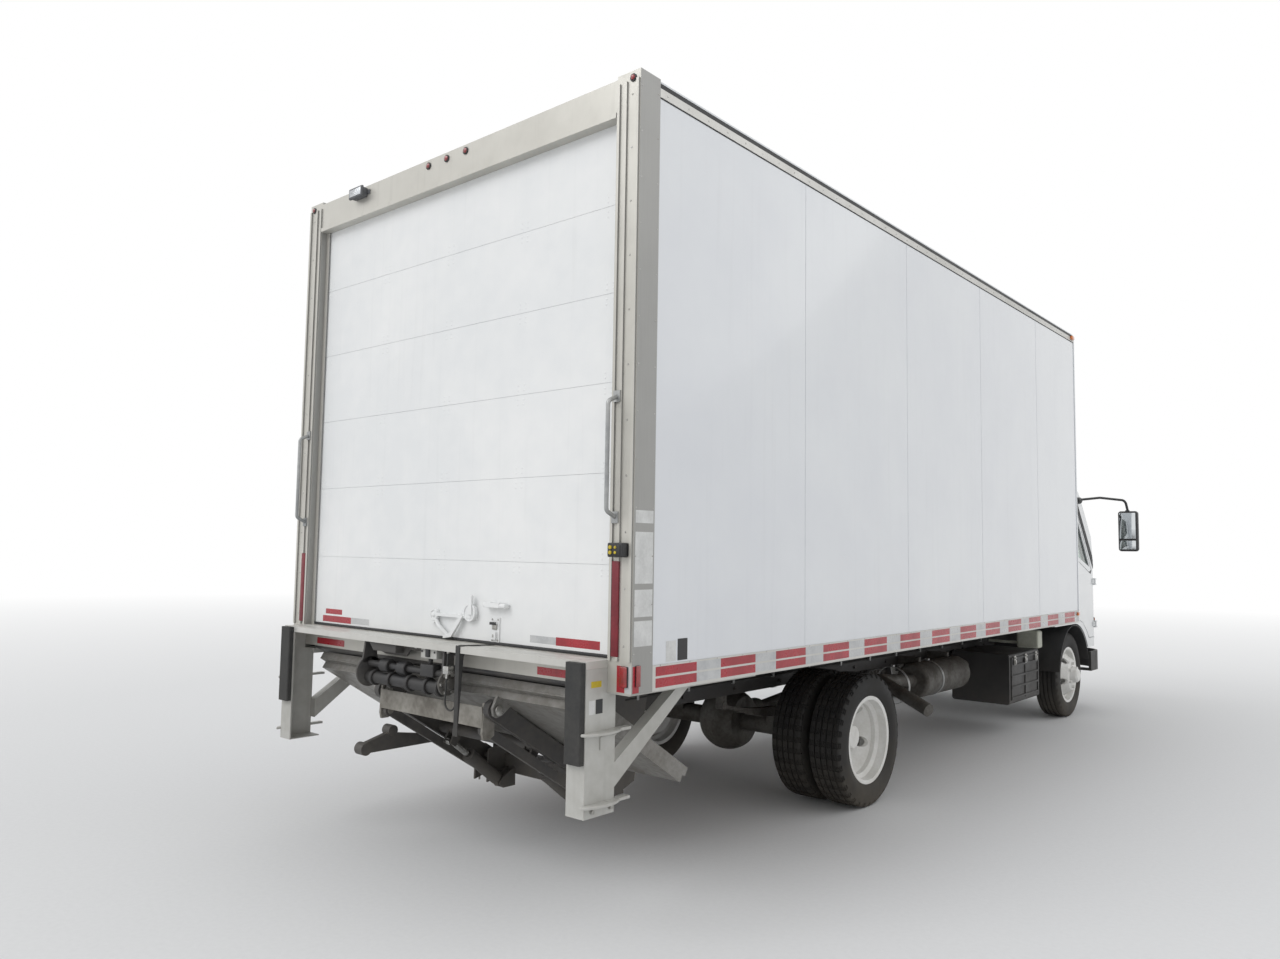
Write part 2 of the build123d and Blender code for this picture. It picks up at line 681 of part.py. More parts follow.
def disc_wheel(outward):
    """A steel wheel on its own centre plane, disc bulging towards outward (+1 or -1)."""
    w = RIM_WIDTH / 2
    barrel = wheel_section(
        [
            (-w, RIM_RADIUS - 5), (-w, RIM_RADIUS), (-w + 5, RIM_RADIUS), (-w + 9, RIM_SEAT_RADIUS),
            (-w + 52, RIM_SEAT_RADIUS - 3), (-w + 66, RIM_WELL_RADIUS), (w - 66, RIM_WELL_RADIUS),
            (w - 52, RIM_SEAT_RADIUS - 3), (w - 9, RIM_SEAT_RADIUS), (w - 5, RIM_RADIUS), (w, RIM_RADIUS),
            (w, RIM_RADIUS - 5), (w - 3, RIM_SEAT_RADIUS - 8), (w - 54, RIM_SEAT_RADIUS - 11),
            (w - 70, RIM_WELL_RADIUS - 8), (-w + 70, RIM_WELL_RADIUS - 8), (-w + 54, RIM_SEAT_RADIUS - 11),
            (-w + 3, RIM_SEAT_RADIUS - 8),
        ]
    )
    t = DISC_THICKNESS
    face = WHEEL_OFFSET
    disc = wheel_section(
        [
            (outward * a, r)
            for a, r in (
                (face - t, HUB_BORE), (face, HUB_BORE), (face, STUD_CIRCLE / 2 + 32),
                (face - 26, STUD_CIRCLE / 2 + 52),
                (24, RIM_WELL_RADIUS - 4), (4, RIM_WELL_RADIUS - 4), (4, RIM_WELL_RADIUS - 10),
                (face - 38, STUD_CIRCLE / 2 + 42), (face - t, STUD_CIRCLE / 2 + 26),
            )
        ]
    )
    for index in range(HAND_HOLES):
        angle = 360 / HAND_HOLES * (index + 0.5)
        disc -= Rot(angle, 0, 0) * Pos(outward * face / 2, 0, HAND_HOLE_CIRCLE) * Rot(0, 90, 0) * Cylinder(
            HAND_HOLE_RADIUS, 2 * face
        )
    return barrel.fuse(disc)


def wheel_nuts(x, outward):
    """Studs with their nuts on the stud circle, standing outward from x."""
    parts = []
    for index in range(STUDS):
        angle = 360 / STUDS * index
        nut = Pos(x + outward * 11, 0, STUD_CIRCLE / 2) * Rot(0, 90, 0) * Cylinder(15, 26)
        parts.append(Rot(angle, 0, 0) * nut)
    return parts


def front_rim():
    """The left front wheel with its hub."""
    hub_in, hub_out = -24.0, WHEEL_OFFSET + 62
    bore = SPINDLE_RADIUS + PIN_GAP
    face = WHEEL_OFFSET
    wheel = disc_wheel(1)
    hub = wheel_section(
        [
            (hub_in, bore), (hub_in, 76), (face - DISC_THICKNESS - 22, 84),
            (face - DISC_THICKNESS - 18, STUD_CIRCLE / 2 + 20),
            (face - DISC_THICKNESS, STUD_CIRCLE / 2 + 20), (face - DISC_THICKNESS, HUB_BORE - 4),
            (face + 10, 74),
            (hub_out - 14, 66), (hub_out, 52), (hub_out, 0), (face + 2, 0), (face + 2, bore),
        ]
    )
    assembly = fuse([wheel, hub] + wheel_nuts(face, 1))
    return Pos(FRONT_WHEEL_X, at(FRONT_AXLE_STATION), TYRE_RADIUS) * assembly


def rear_rims():
    """The left rear pair of wheels bolted face to face on their hub and drum."""
    bore = AXLE_TUBE_RADIUS + PIN_GAP
    outer = Pos(WHEEL_OFFSET, 0, 0) * disc_wheel(-1)
    inner = Pos(-WHEEL_OFFSET, 0, 0) * disc_wheel(1)
    hub = wheel_section(
        [
            (-190, bore), (-190, 190), (-20, 190), (-20, STUD_CIRCLE / 2 + 20),
            (-DISC_THICKNESS, STUD_CIRCLE / 2 + 20),
            (-DISC_THICKNESS, HUB_BORE - 2), (40, HUB_BORE - 6), (118, 70), (124, 62), (124, 0), (-20, 0),
            (-20, bore),
            (-34, bore), (-34, 170), (-170, 170), (-170, bore),
        ]
    )
    pair = fuse([outer, inner, hub] + wheel_nuts(DISC_THICKNESS, 1))
    return Pos(REAR_PAIR_X, at(REAR_AXLE_STATION), TYRE_RADIUS) * pair


def rear_axle():
    """The axle tube, differential and pinion nose."""
    s = REAR_AXLE_STATION
    z = TYRE_RADIUS
    tube_half = REAR_PAIR_X - 24
    tube = bar_x(AXLE_TUBE_RADIUS, s, z, -tube_half, tube_half)
    seats = [
        block(side * SPRING_X - 45, side * SPRING_X + 45, s - 70, s + 70, z + 30, REAR_TUBE_TOP)
        for side in (-1, 1)
    ]
    bowl = Pos(0, at(s), z) * Sphere(205)
    bowl &= Pos(0, at(s), z) * Rot(0, 90, 0) * Cylinder(205, 260)
    nose = rod((0, s + 120, z + 24), (0, s + PINION_REACH, z + 24), 78)
    return fuse([tube, bowl, nose] + seats)


def engine_block():
    """The engine mass with its mounts to the frame rails."""
    body = block(-310, 310, ahead(240), ahead(1020), 500, 1105)
    mounts = []
    for side in (-1, 1):
        for s in (ahead(380), ahead(880)):
            x0, x1 = sorted((side * 300, side * (FRAME_HALF_WIDTH - FRAME_WALL - SEAT_GAP)))
            mounts.append(block(x0, x1, s - 30, s + 30, 700, 760))
    return fuse([chamfer(body.edges().filter_by(Axis.Y), 60)] + mounts)


def driveline():
    """Gearbox, two-piece propeller shaft and centre bearing."""
    out_s, out_z = ahead(-420), 610
    mid_s, mid_z = 4400, 575
    nose_s, nose_z = REAR_AXLE_STATION + PINION_REACH + SEAT_GAP, TYRE_RADIUS + 24
    gearbox = front_prism(
        [(-180, 520), (180, 520), (220, 700), (180, 850), (-180, 850), (-220, 700)], ahead(-260),
        ahead(240) - SEAT_GAP
    )
    tail = rod((0, ahead(-260), out_z), (0, out_s, out_z), 85)
    front_shaft = rod((0, out_s, out_z), (0, mid_s, mid_z), 45)
    rear_shaft = rod((0, mid_s, mid_z), (0, nose_s + 14, nose_z), 45)
    flange = rod((0, nose_s + 24, nose_z), (0, nose_s, nose_z), 72)
    yokes = [
        rod((0, mid_s + 60, mid_z), (0, mid_s - 60, mid_z), 62),
        rod((0, out_s + 40, out_z), (0, out_s - 60, out_z), 62),
    ]
    bearing = block(-90, 90, mid_s - 22, mid_s + 22, mid_z - 75, mid_z + 75)
    hanger = block(-60, 60, mid_s - 22, mid_s + 22, mid_z + 60, MEMBER_BOTTOM - SEAT_GAP)
    return fuse([gearbox, tail, front_shaft, rear_shaft, flange, bearing, hanger] + yokes)


def fuel_tank():
    """The rounded tank hung from the left rail by two straps."""
    x0, x1 = FRAME_HALF_WIDTH + 40, 930
    tank = block(x0, x1, 3700, 4750, 420, 820)
    tank = fillet(tank.edges().filter_by(Axis.Y), 60)
    straps = []
    for s in (3900, 4550):
        straps.append(
            fillet(block(x0 - 6, x1 + 6, s - 25, s + 25, 414, 826).edges().filter_by(Axis.Y), 64) - block(
                x0, x1, s - 40, s + 40, 420, 820
            )
        )
        straps.append(block(FRAME_HALF_WIDTH + SEAT_GAP, x0 + 2, s - 25, s + 25, 690, 740))
    cap = Pos(x1 - 80, at(4620), 826) * Cylinder(45, 40)
    return fuse([tank, cap] + straps)


def battery_box():
    """The ribbed box behind the right front wheel, on its brackets."""
    x0, x1 = -950, -FRAME_HALF_WIDTH - 30
    s0, s1 = ahead(-980), ahead(-220)
    box_body = fillet(block(x0, x1, s0, s1, 285, 705).edges().filter_by(Axis.Y), 25)
    ribs = [block(x0 - 10, x0 + 2, s0 + 40, s1 - 40, z, z + 16) for z in (330, 420, 510, 600, 660)]
    uprights = [block(x0 - 8, x0 + 2, s, s + 14, 320, 680) for s in (ahead(-940), ahead(-600), ahead(-270))]
    brackets = [
        block(x1 - 2, -FRAME_HALF_WIDTH - SEAT_GAP, s, s + 50, 680, 700) for s in (ahead(-890), ahead(-360))
    ]
    return fuse([box_body] + ribs + uprights + brackets)


def exhaust():
    """Silencer, inlet pipe and outlet pipe under the right rail."""
    x = -FRAME_HALF_WIDTH - 175
    can = Pos(x, at(ahead(-1690)), 560) * Rot(90, 0, 0) * Cylinder(135, 860)
    can = fillet(can.edges(), 30)
    inlet = rod((x, ahead(-1340), 560), (x, ahead(-1080), 600), 45)
    end = REAR_AXLE_STATION + 1040
    outlet = rod((x, ahead(-2090), 560), (x, end, 620), 45)
    turn = rod((x, end + 20, 618), (-1040, end - 140, 470), 45)
    hangers = [
        block(x, -FRAME_HALF_WIDTH - SEAT_GAP, s, s + 40, 670, 730) for s in (ahead(-1990), ahead(-1440))
    ]
    return fuse([can, inlet, outlet, turn] + hangers)


def coolant_tank():
    """The small coolant reservoir on a bracket behind the right front arch."""
    x1 = -700
    tank = fillet(block(-900, x1, ahead(-60), ahead(60), 690, 850).edges(), 18)
    bracket = block(x1 - 1, -FRAME_HALF_WIDTH - SEAT_GAP, ahead(-20), ahead(20), 720, 740)
    return fuse([tank, bracket])


# Cab
def cab_side_face():
    """The cab's side view, with its wheel arch."""
    front_s = FRONT_AXLE_STATION + math.sqrt(ARCH_RADIUS**2 - (CAB_LOWER_EDGE - TYRE_RADIUS) ** 2)
    arch_top = CAB_BOTTOM
    turn = math.radians(32)
    middle = (FRONT_AXLE_STATION + ARCH_RADIUS * math.sin(turn), TYRE_RADIUS + ARCH_RADIUS * math.cos(turn))
    rear = CAB_REAR_STATION

    def p(s, z):
        return (0, at(s), z)

    return make_face(
        [
            Polyline(p(FRONT_AXLE_STATION, arch_top), p(rear, arch_top), p(rear, CAB_ROOF - 120)),
            ThreePointArc(p(rear, CAB_ROOF - 120), p(rear + 28, CAB_ROOF - 48), p(rear + 95, CAB_ROOF - 18)),
            ThreePointArc(p(rear + 95, CAB_ROOF - 18), p(ahead(560), CAB_ROOF), p(ahead(1000), CAB_ROOF - 28)),
            ThreePointArc(
                p(ahead(1000), CAB_ROOF - 28), p(ahead(1110), CAB_ROOF - 58), p(ahead(1185), CAB_ROOF - 130)
            ),
            ThreePointArc(
                p(ahead(1185), CAB_ROOF - 130), p(ahead(1372), (CAB_ROOF + CAB_BELT) / 2 - 52.5),
                p(ahead(1520), CAB_BELT - 10),
            ),
            ThreePointArc(
                p(ahead(1520), CAB_BELT - 10), p(ahead(1610), (CAB_BELT + CAB_LOWER_EDGE) / 2 + 35),
                p(CAB_NOSE_STATION, CAB_LOWER_EDGE),
            ),
            Line(p(CAB_NOSE_STATION, CAB_LOWER_EDGE), p(front_s, CAB_LOWER_EDGE)),
            ThreePointArc(p(front_s, CAB_LOWER_EDGE), p(*middle), p(FRONT_AXLE_STATION, arch_top)),
        ]
    )


def cab_plan_face():
    """The cab's top view."""
    half = CAB_HALF_WIDTH
    shoulder, corner, bend = ahead(1140), ahead(1400), ahead(1565)
    return make_face(
        [
            Polyline(
                (-half, at(shoulder)), (-half, at(CAB_REAR_STATION)), (half, at(CAB_REAR_STATION)),
                (half, at(shoulder)),
            ),
            ThreePointArc((half, at(shoulder)), (half - 52, at(corner)), (half - 240, at(bend))),
            ThreePointArc((half - 240, at(bend)), (0, at(CAB_NOSE_STATION)), (240 - half, at(bend))),
            ThreePointArc((240 - half, at(bend)), (52 - half, at(corner)), (-half, at(shoulder))),
        ]
    )


def cab_front_face():
    """The cab's front view."""
    half = CAB_HALF_WIDTH
    roof_x = half - 95

    def p(x, z):
        return (x, 0, z)

    return make_face(
        [
            Polyline(
                p(-half, CAB_BELT), p(-half, 500), p(half, 500), p(half, CAB_BELT), p(roof_x, CAB_ROOF - 110)
            ),
            ThreePointArc(
                p(roof_x, CAB_ROOF - 110), p(roof_x - 28, CAB_ROOF - 45), p(roof_x - 95, CAB_ROOF - 18)
            ),
            ThreePointArc(p(roof_x - 95, CAB_ROOF - 18), p(0, CAB_ROOF), p(95 - roof_x, CAB_ROOF - 18)),
            ThreePointArc(
                p(95 - roof_x, CAB_ROOF - 18), p(28 - roof_x, CAB_ROOF - 45), p(-roof_x, CAB_ROOF - 110)
            ),
            Line(p(-roof_x, CAB_ROOF - 110), p(-half, CAB_BELT)),
        ]
    )


def moved_in(face, inset):
    """A view's outline with its edge moved inward."""
    return offset(face, amount=-inset, kind=Kind.ARC) if inset else face


def across(face):
    """A side view run across the whole cab."""
    return Pos(-CAB_HALF_WIDTH - 60, 0, 0) * extrude(face, amount=2 * CAB_HALF_WIDTH + 120, dir=(1, 0, 0))


def along(face):
    """A front view run along the whole cab."""
    return Pos(0, at(CAB_NOSE_STATION + 100), 0) * extrude(face, amount=2000, dir=(0, 1, 0))


def cab_form(inset):
    """The cab's form: its three views run through each other, each moved inward."""
    upright = Pos(0, 0, 400) * extrude(moved_in(cab_plan_face(), inset), amount=2200, dir=(0, 0, 1))
    return across(moved_in(cab_side_face(), inset)) & upright & along(moved_in(cab_front_face(), inset))


def cab_door_prism(gap, ease=0.0):
    """The door's side view run through both sides of the cab, less a gap all round.

    The ease opens the edge over the arch, where the door's thickness swings past it.
    """
    rear, sill = ahead(260), 925
    face = side_outline(
        [
            (rear, sill), (rear, CAB_ROOF - 145), (ahead(950), CAB_ROOF - 130), (ahead(1252), CAB_BELT + 20),
            (ahead(1272), 730),
            (ahead(1090) - ease, 730), (ahead(1000) - ease, 815), (ahead(880), 890), (ahead(750), sill),
        ]
    )
    return across(moved_in(face, gap))


def door_window_prism(gap):
    """The door window's side view run through both sides of the cab, less a gap."""
    sill, top = CAB_BELT + 175, CAB_ROOF - 197
    outline = [
        (ahead(335), sill), (ahead(335), top - 13), (ahead(925), top), (ahead(1178), CAB_BELT + 70),
        (ahead(820), sill),
    ]
    return across(moved_in(side_outline(outline), gap))


def windshield_prism(gap):
    """The windshield's front view run through the cab's front, less a gap."""
    z0, z1 = CAB_BELT + 25, WINDSHIELD_TOP
    return front_prism(
        [(-905 + gap, z0 + gap), (905 - gap, z0 + gap), (830 - gap, z1 - gap), (-830 + gap, z1 - gap)],
        ahead(760), ahead(1710),
    )


def rear_window_prism(gap):
    """The rear window's front view run through the cab's rear wall."""
    return rounded_front_prism(
        -520 + gap, 520 - gap, 1560 + gap, 2020 - gap, 50, CAB_REAR_STATION - 50, CAB_REAR_STATION + 200
    )


def grille_prism(gap):
    """The grille's front view run through the cab's front."""
    return rounded_front_prism(-520 + gap, 520 - gap, 790 + gap, 1080 - gap, 30, ahead(1260), ahead(1710))


def headlamp_prism(side, gap):
    """One headlamp's front view run through the cab's front corner."""
    x0, x1 = sorted((side * (555 + gap), side * (925 - gap)))
    return rounded_front_prism(x0, x1, 770 + gap, 990 - gap, 40, ahead(1160), ahead(1710))


def hinge_leaves():
    """The left door's hinge leaves, each ending in a barrel on the hinge line."""
    x, s = DOOR_HINGE_X, DOOR_HINGE_STATION
    leaves = []
    for z in DOOR_HINGE_HEIGHTS:
        foot = block(CAB_HALF_WIDTH - 2, x - 2, s - 62, s - 38, z - HINGE_HALF, z + HINGE_HALF)
        leaf = block(CAB_HALF_WIDTH + 2, x - 2, s - 62, s, z - HINGE_HALF, z + HINGE_HALF)
        barrel = bar_z(10, x, s, z - HINGE_HALF, z + HINGE_HALF)
        leaves.append(fuse([foot, leaf, barrel]) - bar_z(HINGE_PIN_RADIUS + PIN_GAP, x, s, z - 40, z + 40))
    return leaves


def hinge_brackets():
    """The left pillar's hinge forks with their pins."""
    x, s = DOOR_HINGE_X, DOOR_HINGE_STATION
    brackets = []
    for z in DOOR_HINGE_HEIGHTS:
        low, high = z - HINGE_HALF - PIN_GAP, z + HINGE_HALF + PIN_GAP
        for z0, z1 in ((low - 14, low), (high, high + 14)):
            brackets.append(block(CAB_HALF_WIDTH - 22, x + 8, s - 7, s + 34, z0, z1))
        brackets.append(bar_z(HINGE_PIN_RADIUS, x, s, low - 14, high + 14))
    return brackets


def cab_seams():
    """The joints between the cab's pressed panels: roof, rear wall, nose, floor, tunnel and pan."""
    wide, low, tunnel = 2000, 500, TUNNEL_HALF_WIDTH
    rear = CAB_REAR_STATION + CAB_WALL
    nose = TILT_STATION - 70
    step = FOOTWELL_STATION
    seams = [
        block(-wide, wide, CAB_REAR_STATION - 10, ahead(1760), WINDSHIELD_TOP, WINDSHIELD_TOP + SEAT_GAP),
        block(-wide, wide, rear, rear + SEAT_GAP, low, WINDSHIELD_TOP),
        block(-wide, wide, nose, nose + SEAT_GAP, PAN_SEAM, WINDSHIELD_TOP)
        - block(-tunnel, tunnel, nose - 1, nose + 1, low, TUNNEL_TOP),
        block(-wide, wide, step, ahead(1760), PAN_SEAM, PAN_SEAM + SEAT_GAP),
        block(-tunnel, tunnel, step, step + SEAT_GAP, low, PAN_SEAM),
    ]
    for side in (-1, 1):
        seams += [
            block(side * tunnel, side * wide, rear, step, CAB_FLOOR, CAB_FLOOR + SEAT_GAP),
            block(side * tunnel, side * wide, step, step + SEAT_GAP, low, CAB_FLOOR + SEAT_GAP),
            block(side * tunnel, side * (tunnel + SEAT_GAP), rear, step, low, TUNNEL_TOP),
        ]
    return seams


def cab_parts():
    """The cab's shell, glass, doors, grille and lamps, cut from one shared form."""
    outer = cab_form(0)
    inner = cab_form(CAB_WALL)
    wide, low, high = 2000, 500, 2400
    tunnel_outer = block(
        -TUNNEL_HALF_WIDTH, TUNNEL_HALF_WIDTH, CAB_REAR_STATION - 10, TUNNEL_FRONT_STATION, low, TUNNEL_TOP
    )
    tunnel_inner = block(
        TUNNEL_WALL - TUNNEL_HALF_WIDTH, TUNNEL_HALF_WIDTH - TUNNEL_WALL, CAB_REAR_STATION - 10,
        TUNNEL_FRONT_STATION - TUNNEL_WALL, low, TUNNEL_TOP - TUNNEL_WALL,
    )
    room = inner & block(-wide, wide, CAB_REAR_STATION, ahead(1760), CAB_FLOOR, high)
    footwell = inner & block(-wide, wide, FOOTWELL_STATION, ahead(1760), FOOTWELL_FLOOR, CAB_FLOOR + 1)
    skirt = (Pos(0, 0, -60) * inner) & block(
        -wide, wide, FOOTWELL_STATION - 80, ahead(1760), low, FOOTWELL_FLOOR - 40
    )
    over_arch = inner & block(
        -wide, wide, FRONT_AXLE_STATION, FOOTWELL_STATION - CAB_WALL, low, CAB_FLOOR - CAB_WALL
    )
    nose = outer - cab_form(CAB_WALL + 15)
    glass_band = cab_form(GLASS_INSET) - cab_form(GLASS_INSET + GLASS_THICKNESS)

    door_core = along(moved_in(cab_front_face(), CAB_WALL))
    doorway = cab_door_prism(0, DOOR_EASE) - along(moved_in(cab_front_face(), CAB_WALL + PANEL_GAP))
    shell = outer - (room + footwell + over_arch - tunnel_outer) - tunnel_inner - skirt - doorway
    for seam in cab_seams():
        shell -= seam
    openings = [windshield_prism(0), grille_prism(0), headlamp_prism(-1, 0), headlamp_prism(1, 0)]
    for opening in openings:
        shell -= nose & opening
    fixed = both_sides(tilt_lug())
    for bracket in hinge_brackets():
        fixed += both_sides(bracket)
    shell = fuse([shell - rear_window_prism(0)] + fixed)

    windshield = glass_band & windshield_prism(SEAT_GAP)
    rear_glass = glass_band & rear_window_prism(SEAT_GAP)
    glass_pair = glass_band & door_window_prism(SEAT_GAP)
    door_pair = (outer & cab_door_prism(PANEL_GAP)) - door_core - door_window_prism(0)
    for leaf in hinge_leaves():
        door_pair = fuse([door_pair] + both_sides(leaf))
    lamps = [nose & headlamp_prism(side, SEAT_GAP) for side in (-1, 1)]
    slab = nose & grille_prism(SEAT_GAP)
    bar_pitch = 58
    for index in range(4):
        z = 835 + index * bar_pitch
        slab -= front_prism([(-480, z), (480, z), (480, z + 34), (-480, z + 34)], ahead(1460), ahead(1710))
    return shell, windshield, rear_glass, door_pair, glass_pair, lamps, slab


def mirror_arm_and_head():
    """The left mirror: bent arm from the front pillar and its upright head."""
    path = FilletPolyline(
        (944, at(ahead(1052)), 2118), (1110, at(ahead(1280)), 2150), (1290, at(ahead(1520)), 2130),
        (1305, at(ahead(1550)), 2020), radius=60,
    )
    arm = sweep(Plane(origin=path @ 0, z_dir=path % 0) * Circle(12), path=path)
    foot = Pos(935, at(ahead(1035)), 2112) * Sphere(30)
    head = fillet(block(1215, 1400, ahead(1510), ahead(1595), 1605, 2020).edges(), 28)
    return fuse([arm, foot, head]) - cab_form(0)


def cab_seats():
    """Two seats, each a cushion on a base with a backrest and headrest."""
    seats = []
    for side in (-1, 1):
        x0, x1 = sorted((side * (TUNNEL_HALF_WIDTH + 15), side * 905))
        base = block(x0 + 30, x1 - 30, ahead(190), ahead(660), CAB_FLOOR + SEAT_GAP, 1150)
        cushion = fillet(block(x0, x1, ahead(160), ahead(690), 1150, 1270).edges(), 30)
        back = side_prism(
            [(ahead(190), 1240), (ahead(320), 1240), (ahead(190), 1850), (ahead(80), 1850)], x0, x1
        )
        middle = (x0 + x1) / 2
        head = side_prism(
            [(ahead(80), 1850), (ahead(180), 1850), (ahead(160), 2020), (ahead(70), 2020)], middle - 120,
            middle + 120
        )
        seats.append(fuse([base, cushion, back, head]))
    return seats


def dashboard():
    """The instrument panel with the steering column and wheel."""
    side = CAB_HALF_WIDTH - CAB_WALL - 10
    panel = side_prism(
        [
            (ahead(1110), 1190), (ahead(1110), 1330), (ahead(1190), 1400), (ahead(1420), 1385),
            (ahead(1420), 1190)
        ],
        -side, side,
    )
    panel &= cab_form(CAB_WALL)
    x = 600
    column = rod((x, ahead(1160), 1300), (x, ahead(950), 1450), 32)
    tilt = Plane(origin=(x, at(ahead(940)), 1457), z_dir=Vector(0, at(ahead(950)) - at(ahead(1160)), 150))
    ring = tilt * Torus(205, 15)
    spokes = [tilt * Rot(0, 0, a) * Pos(102, 0, 0) * Box(200, 30, 14) for a in (0, 120, 240)]
    return fuse([panel, column, ring, tilt * Cylinder(50, 30)] + spokes)


def front_bumper():
    """The formed bumper, carried by stays from the frame rails."""
    z0, z1 = BUMPER_BOTTOM, BUMPER_TOP
    thick = 24.0

    def outline(shift):
        """The left half's edge and its mirror, moved in by the bumper's thickness."""
        x = CAB_HALF_WIDTH + 10 - shift
        wing = (CAB_HALF_WIDTH - 62 - shift * 0.7, at(ahead(1495) - shift * 0.7))
        corner = (CAB_HALF_WIDTH - 260, at(ahead(1610) - shift))
        end, bend = (x, at(ahead(1105))), (x, at(ahead(1240)))

        def other(point):
            return (-point[0], point[1])

        return [
            Line(other(end), other(bend)),
            ThreePointArc(other(bend), other(wing), other(corner)),
            ThreePointArc(other(corner), (0, at(BUMPER_STATION - shift)), corner),
            ThreePointArc(corner, wing, bend),
            Line(bend, end),
        ]

    front, back = outline(0), outline(thick)
    ends = [Line(front[0] @ 0, back[0] @ 0), Line(front[-1] @ 1, back[-1] @ 1)]
    shell = Pos(0, 0, z0) * extrude(make_face(front + back + ends), amount=z1 - z0, dir=(0, 0, 1))
    parts = [shell]
    for side in (-1, 1):
        x = side * (FRAME_HALF_WIDTH - FRAME_FLANGE / 2)
        parts.append(block(x - 30, x + 30, FRAME_FRONT_STATION - 140, BUMPER_STATION - 34, 430, 530))
        parts.append(
            block(x - 30, x + 30, FRAME_FRONT_STATION - 140, FRAME_FRONT_STATION, 520, FRAME_BOTTOM - SEAT_GAP)
        )
        foot = (side * (CAB_HALF_WIDTH - 280), side * (CAB_HALF_WIDTH - 10))
        parts.append(block(*foot, ahead(1110), ahead(1200), z0, z0 + 20))
    return fuse(parts)


def cab_mounts():
    """Front tilt pivots on the frame ends and the rest bar under the cab's rear edge."""
    rest = block(-620, 620, ahead(40), ahead(100), FRAME_TOP, CAB_BOTTOM - SEAT_GAP)
    parts = [rest]
    for side in (-1, 1):
        x = FRAME_HALF_WIDTH + SEAT_GAP + TILT_PLATE / 2
        outline = [
            (FRAME_FRONT_STATION - 150, FRAME_BOTTOM + 10), (FRAME_FRONT_STATION - 150, FRAME_TOP - 40),
            (FRAME_FRONT_STATION - 60, FRAME_TOP - 40), (FRAME_FRONT_STATION, FRAME_BOTTOM + 50),
            (TILT_STATION + 8, TILT_HEIGHT + 26), (TILT_STATION + 26, TILT_HEIGHT),
            (TILT_STATION, TILT_HEIGHT - 26),
            (FRAME_FRONT_STATION, FRAME_BOTTOM - 40),
        ]
        plate = plate_at(outline, x, TILT_PLATE, side)
        pin = pin_at(TILT_PIN_RADIUS, TILT_STATION, TILT_HEIGHT, x, x + 52, side)
        parts.append(fuse([plate, pin]))
    return parts


def tilt_lug():
    """The left hinge lug under the cab's footwell, round the tilt pin."""
    x = FRAME_HALF_WIDTH + 38
    under = FOOTWELL_FLOOR - 41
    outline = [
        (TILT_STATION - 120, under + 10), (TILT_STATION + 30, under + 10),
        (TILT_STATION + 30, TILT_HEIGHT - 10),
        (TILT_STATION + 12, TILT_HEIGHT - 30), (TILT_STATION - 12, TILT_HEIGHT - 30),
        (TILT_STATION - 120, under - 10),
    ]
    return plate_at(outline, x, 22, 1) - bar_x(
        TILT_PIN_RADIUS + PIN_GAP, TILT_STATION, TILT_HEIGHT, x - 20, x + 20
    )


def front_fender():
    """The left arch liner round the front wheel with its splash guard and bracket."""
    inner, outer = 474.0, 480.0
    c = (0, at(FRONT_AXLE_STATION), TYRE_RADIUS)

    def rim(radius, degrees):
        a = math.radians(degrees)
        return (0, c[1] - radius * math.cos(a), c[2] + radius * math.sin(a))

    first, last = 14, 172
    middle = (first + last) / 2
    face = make_face(
        [
            ThreePointArc(rim(inner, first), rim(inner, middle), rim(inner, last)),
            Line(rim(inner, last), rim(outer, last)),
            ThreePointArc(rim(outer, last), rim(outer, middle), rim(outer, first)),
            Line(rim(outer, first), rim(inner, first)),
        ]
    )
    liner = Pos(700, 0, 0) * extrude(face, amount=322, dir=(1, 0, 0))
    bracket = block(
        FRAME_HALF_WIDTH + SEAT_GAP, 702, ahead(140), ahead(175), FRAME_BOTTOM + 8, FRAME_BOTTOM + 33
    )
    plate = block(690, 702, ahead(135), ahead(165), 470, 700)
    return fuse([liner, bracket, plate])


# Liftgate, drawn with its folded platform stowed under the floor
def gate_point(reach, above):
    """A (station, z) point: along the lift arm from its pivot, and above its centre line."""
    a = math.radians(GATE_ANGLE)
    return (
        GATE_PIVOT_STATION - reach * math.cos(a) + above * math.sin(a),
        GATE_PIVOT_HEIGHT + reach * math.sin(a) + above * math.cos(a),
    )


def arm_prism(reach_from, reach_to, low, high, x0, x1):
    """A straight piece along the lift arm's direction."""
    corners = ((reach_from, low), (reach_to, low), (reach_to, high), (reach_from, high))
    return side_prism([gate_point(*corner) for corner in corners], x0, x1)


def plate_at(outline, x, width, side):
    """A side-view plate centred on x on one side of the truck."""
    x0, x1 = sorted((side * (x - width / 2), side * (x + width / 2)))
    return side_prism(outline, x0, x1)


def pin_at(radius, station, z, x0, x1, side):
    """A cross pin on one side of the truck."""
    low, high = sorted((side * x0, side * x1))
    return bar_x(radius, station, z, low, high)


